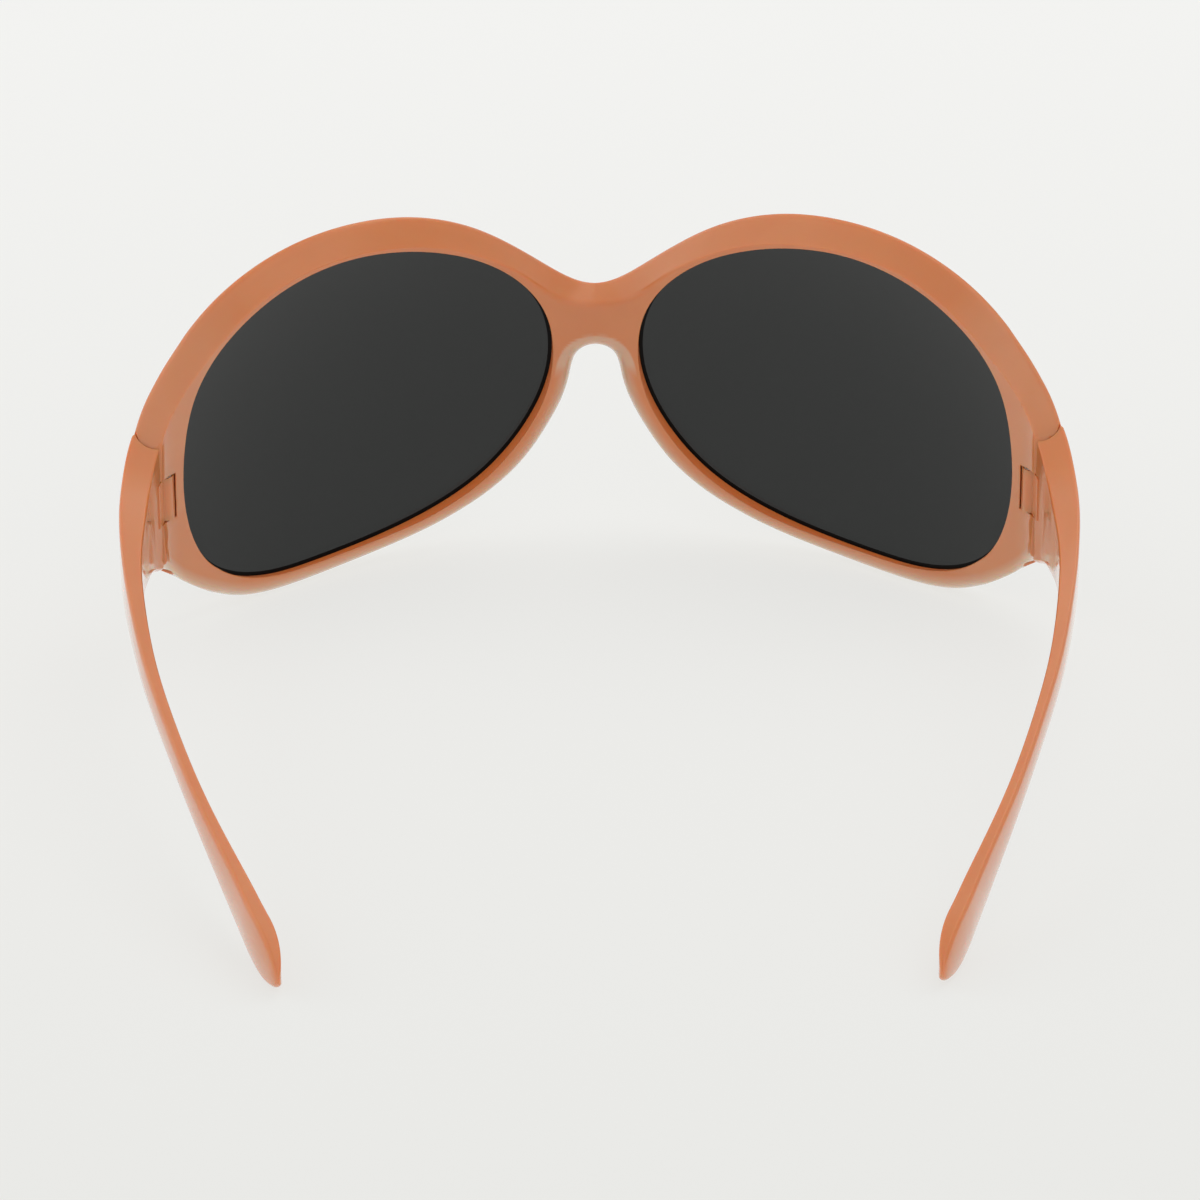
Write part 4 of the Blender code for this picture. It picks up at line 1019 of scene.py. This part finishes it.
def lens_mesh(sheet, mirrored):
    """Lens between two depths of the sheet, with a bevel round its back.

    Each ring is the opening's outline drawn in towards the eye centre; the last rings run square to
    the outline, down the bevel and over the edge. Returns which faces are back, edge and front; the
    edge faces also take a band of the back next to the bevel, a painted dark line of shade.
    """
    angle = np.linspace(0.0, 2.0 * math.pi, LENS_SIDES, endpoint=False)
    lens = sheet.lens
    back = lens.seat
    front = back - lens.thickness
    edge = lens.groove_depth - lens.edge_gap
    start = sheet.opening_point(angle, -lens.painted_shade_line)
    shares = np.sin(np.linspace(0.0, math.pi / 2.0, LENS_RINGS + 1))[1:]
    rings = [(sheet.eye + (start - sheet.eye) * share, back) for share in shares]
    rings += [(sheet.opening_point(angle, -lens.bevel_inset * (1.0 - step) + edge * step),
               back - lens.bevel_depth * step) for step in BEVEL_PLACES]
    rings += [(sheet.opening_point(angle, edge), front + lens.edge_gap / 2.0),
              (sheet.opening_point(angle, edge - lens.edge_gap / 2.0), front)]
    rings += [(sheet.eye + (start - sheet.eye) * share, front) for share in shares[::-1]]
    places = np.stack([ring for ring, _ in rings])
    depths = np.stack([np.full(LENS_SIDES, depth) for _, depth in rings])
    points = sheet.solid(places[..., 0], places[..., 1], depths)
    centre = np.array([sheet.eye, sheet.eye])
    poles = sheet.solid(centre[:, 0], centre[:, 1], np.array([back, front]))
    points = np.vstack([points.reshape(-1, 3), poles])
    points[:, 2] -= sheet.front.foot_cut
    if mirrored:
        points = points * MIRROR
    index, quads = ring_quads(len(rings), LENS_SIDES)
    faces = (quads.reshape(-1, 4).tolist() + fan(index[0], len(points) - 2)
             + fan(index[-1], len(points) - 1))
    # Faces from the last flat back ring out over the bevel take the near-black edge finish: a
    # painted dark line of shade round the lens, over the real ground bevel
    marks = np.zeros(quads.shape[:2], dtype=int)
    edge_end = len(shares) + len(BEVEL_PLACES) + 1
    marks[len(shares) - 1:edge_end] = 1
    marks[edge_end:] = 2
    marks = np.concatenate([marks.ravel(), np.zeros(LENS_SIDES, dtype=int),
                            np.full(LENS_SIDES, 2)])
    return points, faces, marks


def feed(tree, made, inputs):
    """Sets a node's inputs, by name or number: a value, or a link from another node's output."""
    for name, value in inputs.items():
        if isinstance(value, bpy.types.NodeSocket):
            tree.links.new(value, made.inputs[name])
        else:
            made.inputs[name].default_value = value


def node(tree, kind, inputs=None, **settings):
    """New node with its settings and inputs."""
    made = tree.nodes.new(kind)
    for name, value in settings.items():
        setattr(made, name, value)
    feed(tree, made, inputs or {})
    return made


def rgba(colour, share=1.0):
    """Colour times a share, with full alpha."""
    return (*[share * value for value in colour], 1.0)


def blend(tree, share, first, second):
    """Output that mixes two colours."""
    return node(tree, "ShaderNodeMix", {0: share, 6: first, 7: second}, data_type="RGBA").outputs[2]


def maths(tree, operation, *values):
    """Output of one operation on the values."""
    return node(tree, "ShaderNodeMath", dict(enumerate(values)), operation=operation).outputs[0]


def remap(tree, value, low, high, to_low=0.0, to_high=1.0):
    """Output that takes a value from one range to another."""
    return node(tree, "ShaderNodeMapRange", {
        "Value": value, "From Min": low, "From Max": high, "To Min": to_low,
        "To Max": to_high}).outputs["Result"]


def object_place(tree):
    """Output with each point's place in the piece's own coordinates."""
    return node(tree, "ShaderNodeTexCoord").outputs["Object"]


def noise(tree, place, scale, detail, roughness=0.5, distortion=0.0):
    """Output with soft random marks, finer where the scale is larger."""
    return node(tree, "ShaderNodeTexNoise", {
        "Vector": place, "Scale": scale, "Detail": detail, "Roughness": roughness,
        "Distortion": distortion}).outputs["Fac"]


def polish_group():
    """Shared group for moulded plastic: slow flow streaks in the colour, fine polish marks in the
    roughness and a faint ripple in the height."""
    name = "moulded_polish"
    if name in bpy.data.node_groups:
        return bpy.data.node_groups[name]
    tree = bpy.data.node_groups.new(name, "ShaderNodeTree")
    for label, way, kind, value in (
            ("Place", "INPUT", "Vector", None), ("Colour", "INPUT", "Color", None),
            ("Deep Colour", "INPUT", "Color", None), ("Flow Size", "INPUT", "Float", 45.0),
            ("Flow", "INPUT", "Float", 0.6), ("Polish Size", "INPUT", "Float", 2600.0),
            ("Roughness", "INPUT", "Float", 0.1), ("Polish", "INPUT", "Float", 0.03),
            ("Colour", "OUTPUT", "Color", None), ("Roughness", "OUTPUT", "Float", None),
            ("Height", "OUTPUT", "Float", None)):
        made = tree.interface.new_socket(label, in_out=way, socket_type="NodeSocket" + kind)
        if value is not None:
            made.default_value = value
    given = node(tree, "NodeGroupInput").outputs
    place = given["Place"]
    flow = noise(tree, place, given["Flow Size"], detail=3.0, roughness=0.45, distortion=1.4)
    streaks = maths(tree, "MULTIPLY", remap(tree, flow, 0.35, 0.65), given["Flow"])
    marks = noise(tree, place, given["Polish Size"], detail=2.0, roughness=0.6)
    smear = noise(tree, place, scale=160.0, detail=3.0, roughness=0.55)
    wear = remap(tree, maths(tree, "MULTIPLY", marks, smear), 0.12, 0.42)
    node(tree, "NodeGroupOutput", {
        "Colour": blend(tree, streaks, given["Colour"], given["Deep Colour"]),
        "Roughness": maths(tree, "MULTIPLY_ADD", wear, given["Polish"], given["Roughness"]),
        "Height": noise(tree, place, scale=420.0, detail=1.0, roughness=0.4)})
    return tree


def new_material(name):
    """Empty material with a Principled shader wired to its output."""
    made = bpy.data.materials.new(name)
    made.use_nodes = True
    tree = made.node_tree
    tree.nodes.clear()
    shader = node(tree, "ShaderNodeBsdfPrincipled")
    node(tree, "ShaderNodeOutputMaterial", {"Surface": shader.outputs[0]})
    return made, tree, shader


def plastic_material(scene, name, flow_size, stretch):
    """Polished salmon plastic: body colour with flow streaks, a painted pale highlight blended in
    by the painted-light attribute, light that spreads inside it, a painted glow on the walls of the
    lens openings, and a clear surface with fine marks."""
    look = scene.sunglasses_plastic
    made, tree, shader = new_material(name)
    place = node(tree, "ShaderNodeMapping", {"Vector": object_place(tree), "Scale": stretch})
    polish = node(tree, "ShaderNodeGroup", {
        "Place": place.outputs["Vector"], "Colour": rgba(look.colour),
        "Deep Colour": rgba(look.deep), "Flow Size": flow_size, "Roughness": look.roughness},
        node_tree=polish_group()).outputs
    # Painted light: the attribute blends the pale colour in as a painted highlight, and where it is
    # minus one the walls of the lens openings get a painted glow
    thin = node(tree, "ShaderNodeAttribute", attribute_name="thin").outputs["Fac"]
    wall = node(tree, "ShaderNodeMath", {0: thin, 1: -1.0}, operation="MULTIPLY", use_clamp=True)
    bump = node(tree, "ShaderNodeBump", {"Height": polish["Height"], "Strength": 0.06,
                                         "Distance": 0.00004})
    feed(tree, shader, {
        "Base Color": blend(tree, thin, polish["Colour"], rgba(look.pale)),
        "Emission Color": blend(tree, wall.outputs[0], BLACK, rgba(look.painted_glow)),
        "Emission Strength": 1.0, "Roughness": polish["Roughness"],
        "Normal": bump.outputs["Normal"], "IOR": 1.55, "Specular Tint": rgba(look.shine),
        "Coat Weight": look.coat, "Coat Roughness": 0.04, "Sheen Weight": look.sheen,
        "Sheen Roughness": 0.3, "Sheen Tint": rgba(look.shine),
        "Subsurface Weight": look.glow_share, "Subsurface Radius": look.glow,
        "Subsurface Scale": look.glow_depth})
    return made


def lens_material(name, colour, coating):
    """See-through tinted resin: the tint colours what passes, the coating colours what it reflects,
    and a faint wipe haze varies the tint and the roughness."""
    made, tree, shader = new_material(name)
    haze = noise(tree, object_place(tree), scale=55.0, detail=4.0, roughness=0.6, distortion=0.8)
    feed(tree, shader, {
        "Base Color": blend(tree, haze, rgba(colour), rgba(colour, 0.94)),
        "Roughness": remap(tree, haze, 0.45, 0.75, 0.0, 0.03),
        "Transmission Weight": 1.0, "IOR": 1.5, "Specular Tint": rgba(coating)})
    return made


def edge_and_shade_material(look):
    """Ground edge of the lens and a band of its back beside it: almost black with little shine, a
    painted shade for the dark line round the lens, with fine grinding marks in the roughness.
    """
    made, tree, shader = new_material("lens_edge")
    marks = noise(tree, object_place(tree), scale=3000.0, detail=2.0)
    feed(tree, shader, {
        "Base Color": blend(tree, marks, rgba(look.edge), rgba(look.edge, 0.5)),
        "Roughness": remap(tree, marks, 0.0, 1.0, 0.35, 0.6), "Specular IOR Level": 0.12})
    return made


def metal_material(name, colour, roughness, ring_size):
    """Turned metal: fine rings round the hinge axis in the colour and the roughness."""
    made, tree, shader = new_material(name)
    rings = node(tree, "ShaderNodeTexWave", {
        "Vector": object_place(tree), "Scale": ring_size, "Distortion": 1.5, "Detail": 2.0},
        bands_direction="Z").outputs["Fac"]
    feed(tree, shader, {
        "Base Color": blend(tree, rings, rgba(colour), rgba(colour, 0.7)),
        "Roughness": remap(tree, rings, 0.0, 1.0, roughness, roughness + 0.15),
        "Metallic": 1.0})
    return made


def nylon_material():
    """Natural nylon: milky, slightly mottled, with a soft surface."""
    made, tree, shader = new_material("washer_nylon")
    mottle = noise(tree, object_place(tree), scale=1500.0, detail=3.0)
    feed(tree, shader, {
        "Base Color": blend(tree, mottle, rgba(NYLON), rgba(NYLON_MOTTLE)),
        "Roughness": 0.45, "Subsurface Weight": 0.2, "Subsurface Scale": 0.0004})
    return made


class SUNGLASSES_OT_front(Operator):
    """Make the moulded front with its rims, bridge, nose legs and end pieces"""

    bl_idname = "sunglasses.make_front"
    bl_label = "Front"

    def execute(self, context):
        scene = context.scene
        sheet = Sheet(scene)
        finish = plastic_material(scene, "front_plastic", flow_size=45.0, stretch=(1.0, 1.0, 1.6))
        points, faces, thin = front_mesh(sheet)
        front = mesh_object("moulded_front", points, faces.tolist(), [finish], thin=thin)
        tools = [tool for mirrored in (False, True)
                 for tool in end_piece_tools(sheet, mirrored, finish)]
        carve(front, tools + [(table_tool(sheet, finish), "DIFFERENCE")])
        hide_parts("front_frame")
        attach(front, "front")
        return {"FINISHED"}


class SUNGLASSES_OT_lenses(Operator):
    """Make the two tinted lenses with their polished bevels"""

    bl_idname = "sunglasses.make_lenses"
    bl_label = "Lenses"

    def execute(self, context):
        scene = context.scene
        sheet = Sheet(scene)
        look = scene.sunglasses_lens_look
        inside = lens_material("coated_lens_back", look.tint, look.coating)
        # Near-black edge finish: the ground bevel and a painted dark line of shade round the lens
        edge = edge_and_shade_material(look)
        outside = lens_material("lens_front", look.tint, WHITE[:3])
        for side, mirrored in (("left", False), ("right", True)):
            points, faces, marks = lens_mesh(sheet, mirrored)
            lens = mesh_object(side + "_tinted_lens", points, faces, [inside, edge, outside], marks,
                               sharp=LENS_CREASE)
            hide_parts(side + "_lens")
            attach(lens, "front")
        return {"FINISHED"}


class SUNGLASSES_OT_temples(Operator):
    """Make the two temples with their hinge tongues and tips"""

    bl_idname = "sunglasses.make_temples"
    bl_label = "Temples"

    def execute(self, context):
        scene = context.scene
        sheet = Sheet(scene)
        finish = plastic_material(scene, "temple_plastic", flow_size=38.0,
                                  stretch=(1.6, 0.7, 1.6))
        for side, mirrored in (("left", False), ("right", True)):
            points, faces, thin = temple_mesh(sheet, mirrored)
            arm = mesh_object(side + "_moulded_temple", points, faces, [finish], thin=thin)
            carve(arm, temple_head_tools(sheet, mirrored, finish)
                  + [(table_tool(sheet, finish), "DIFFERENCE")])
            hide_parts(side + "_temple")
            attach(arm, side + "_arm")
        return {"FINISHED"}


class SUNGLASSES_OT_hinge_finish(Operator):
    """Give the hinge screws, inserts and washers their finishes"""

    bl_idname = "sunglasses.finish_hinges"
    bl_label = "Hinge parts"

    def execute(self, context):
        steel = metal_material("screw_steel", STEEL, roughness=0.22, ring_size=2200.0)
        brass = metal_material("insert_brass", BRASS, roughness=0.28, ring_size=1600.0)
        nylon = nylon_material()
        finishes = {"hinge_screw": steel, "threaded_insert": brass, "upper_hinge_washer": nylon,
                    "lower_hinge_washer": nylon}
        for side in ("left", "right"):
            for piece, finish in finishes.items():
                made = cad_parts[side + "_" + piece]
                made.data.materials.clear()
                made.data.materials.append(finish)
                shade(made, HINGE_CREASE)
        return {"FINISHED"}


class SUNGLASSES_OT_stage(Operator):
    """Set up the pale floor, the soft light and the camera"""

    bl_idname = "sunglasses.make_stage"
    bl_label = "Stage"

    def execute(self, context):
        scene = context.scene
        look = scene.sunglasses_stage
        scene.view_settings.view_transform = "Standard"
        self.floor(look)
        self.sky(scene, look)
        self.lamps(look)
        self.camera(scene, look)
        return {"FINISHED"}

    def floor(self, look):
        """Wide disc under the part, paler towards the back of the picture."""
        made, tree, shader = new_material("studio_floor")
        split = node(tree, "ShaderNodeSeparateXYZ", {0: object_place(tree)})
        fade = remap(tree, split.outputs["Y"], *FLOOR_FADE)
        tone = blend(tree, fade, rgba(look.far_floor), rgba(look.near_floor))
        feed(tree, shader, {
            "Base Color": blend(tree, look.floor_glow, tone, BLACK), "Emission Color": tone,
            "Emission Strength": look.floor_glow, "Roughness": 1.0, "Specular IOR Level": 0.0})
        angle = np.linspace(0.0, 2.0 * math.pi, FLOOR_SIDES, endpoint=False)
        points = np.column_stack([FLOOR_RADIUS * np.cos(angle), FLOOR_RADIUS * np.sin(angle),
                                  np.full(FLOOR_SIDES, FLOOR_LEVEL)])
        disc = mesh_object("floor", points, [list(range(FLOOR_SIDES))], [made])

    def sky(self, scene, look):
        """Even light, the floor's far colour for what the camera and glass see, and walls of that
        colour, dimmer or brighter from side to side, for what gloss mirrors."""
        world = bpy.data.worlds.new("studio")
        scene.world = world
        world.use_nodes = True
        tree = world.node_tree
        tree.nodes.clear()
        rays = node(tree, "ShaderNodeLightPath").outputs
        direct = maths(tree, "MAXIMUM", rays["Is Camera Ray"], rays["Is Glossy Ray"])
        seen = maths(tree, "MAXIMUM", direct, rays["Is Transmission Ray"])
        split = node(tree, "ShaderNodeSeparateXYZ", {0: object_place(tree)})
        side = remap(tree, split.outputs["X"], -1.0, 1.0)
        walls = node(tree, "ShaderNodeValToRGB", {"Fac": side})
        levels = ((0.20, look.sky_dim), (0.28, look.sky_bright), (0.44, look.sky_bright),
                  (0.50, look.sky_top), (0.70, look.sky_top), (0.80, look.sky_bright))
        stops = walls.color_ramp.elements
        stops.remove(stops[1])
        for number, (place, level) in enumerate(levels):
            stop = stops.new(place) if number else stops[0]
            stop.position = place
            stop.color = (level, level, level, 1.0)
        strength = node(tree, "ShaderNodeMix", {0: rays["Is Glossy Ray"], 2: 1.0,
                                                3: walls.outputs["Color"]}).outputs[0]
        even = node(tree, "ShaderNodeBackground", {"Color": WHITE, "Strength": look.sky})
        pale = node(tree, "ShaderNodeBackground", {"Color": rgba(look.far_floor),
                                                   "Strength": strength})
        mix = node(tree, "ShaderNodeMixShader", {0: seen, 1: even.outputs[0],
                                                 2: pale.outputs[0]})
        node(tree, "ShaderNodeOutputWorld", {"Surface": mix.outputs[0]})

    def lamps(self, look):
        """Light boxes, each a name, place, size and share of the set brightness, with the power
        that makes it shine that brightly over its whole area."""
        boxes = (("overhead_box", (-0.42, -0.36, 1.05), (1.0, 1.0), 1.6),
                 ("left_box", (1.05, -0.25, 0.55), (0.8, 1.0), 1.5),
                 ("camera_box", (-0.35, 1.30, 0.60), (1.4, 0.6), 1.1))
        for name, place, size, share in boxes:
            lamp = bpy.data.lights.new(name, "AREA")
            lamp.shape = "RECTANGLE"
            lamp.size, lamp.size_y = size
            lamp.energy = look.box_light * share * math.pi * size[0] * size[1]
            made = bpy.data.objects.new(name, lamp)
            made.location = place
            made.rotation_euler = Vector(place).to_track_quat("Z", "Y").to_euler()
            made.visible_glossy = False
            bpy.context.scene.collection.objects.link(made)

    def camera(self, scene, look):
        """Camera at its distance from the target, rolled a little, on a long lens."""
        back = Vector((math.sin(look.azimuth) * math.cos(look.elevation),
                       math.cos(look.azimuth) * math.cos(look.elevation), math.sin(look.elevation)))
        right = (-back).cross(Vector((0.0, 0.0, 1.0))).normalized()
        up = right.cross(-back)
        rolled_right = right * math.cos(look.roll) + up * math.sin(look.roll)
        rolled_up = up * math.cos(look.roll) - right * math.sin(look.roll)
        place = Vector(look.target) + look.distance * back
        data = bpy.data.cameras.new("camera")
        data.sensor_fit = "HORIZONTAL"
        data.sensor_width = 36.0
        data.lens = look.focal_length
        data.clip_start = 0.01
        data.clip_end = 50.0
        made = bpy.data.objects.new("camera", data)
        turn = Matrix((rolled_right, rolled_up, back)).transposed().to_4x4()
        made.matrix_world = Matrix.Translation(place) @ turn
        scene.collection.objects.link(made)
        scene.camera = made


class SUNGLASSES_PT_panel(Panel):
    """Buttons and sizes of the sunglasses"""

    bl_idname = "SUNGLASSES_PT_panel"
    bl_label = "Sunglasses"
    bl_space_type = "VIEW_3D"
    bl_region_type = "UI"
    bl_category = "Sunglasses"

    def draw(self, context):
        layout = self.layout
        for step in STEPS:
            layout.operator(step.bl_idname)
        for name, kind in GROUPS.items():
            box = layout.box()
            box.label(text=kind.__doc__)
            for field in kind.__annotations__:
                box.prop(getattr(context.scene, name), field)


STEPS = (SUNGLASSES_OT_stage, SUNGLASSES_OT_front, SUNGLASSES_OT_lenses, SUNGLASSES_OT_temples,
         SUNGLASSES_OT_hinge_finish)
GROUPS = {
    "sunglasses_front": FrontSizes, "sunglasses_lens": LensSizes, "sunglasses_temple": TempleSizes,
    "sunglasses_hinge": HingeSizes, "sunglasses_plastic": PlasticLook,
    "sunglasses_lens_look": LensLook, "sunglasses_stage": StageLook,
}


def register():
    for group in GROUPS.values():
        bpy.utils.register_class(group)
    for step in STEPS:
        bpy.utils.register_class(step)
    bpy.utils.register_class(SUNGLASSES_PT_panel)
    for name, group in GROUPS.items():
        setattr(bpy.types.Scene, name, PointerProperty(type=group))


def unregister():
    for name in GROUPS:
        delattr(bpy.types.Scene, name)
    bpy.utils.unregister_class(SUNGLASSES_PT_panel)
    for step in reversed(STEPS):
        bpy.utils.unregister_class(step)
    for group in reversed(list(GROUPS.values())):
        bpy.utils.unregister_class(group)


def main():
    """Makes every piece and the stage."""
    register()
    bpy.ops.sunglasses.make_stage()
    bpy.ops.sunglasses.make_front()
    bpy.ops.sunglasses.make_lenses()
    bpy.ops.sunglasses.make_temples()
    bpy.ops.sunglasses.finish_hinges()


if __name__ == "__main__":
    main()
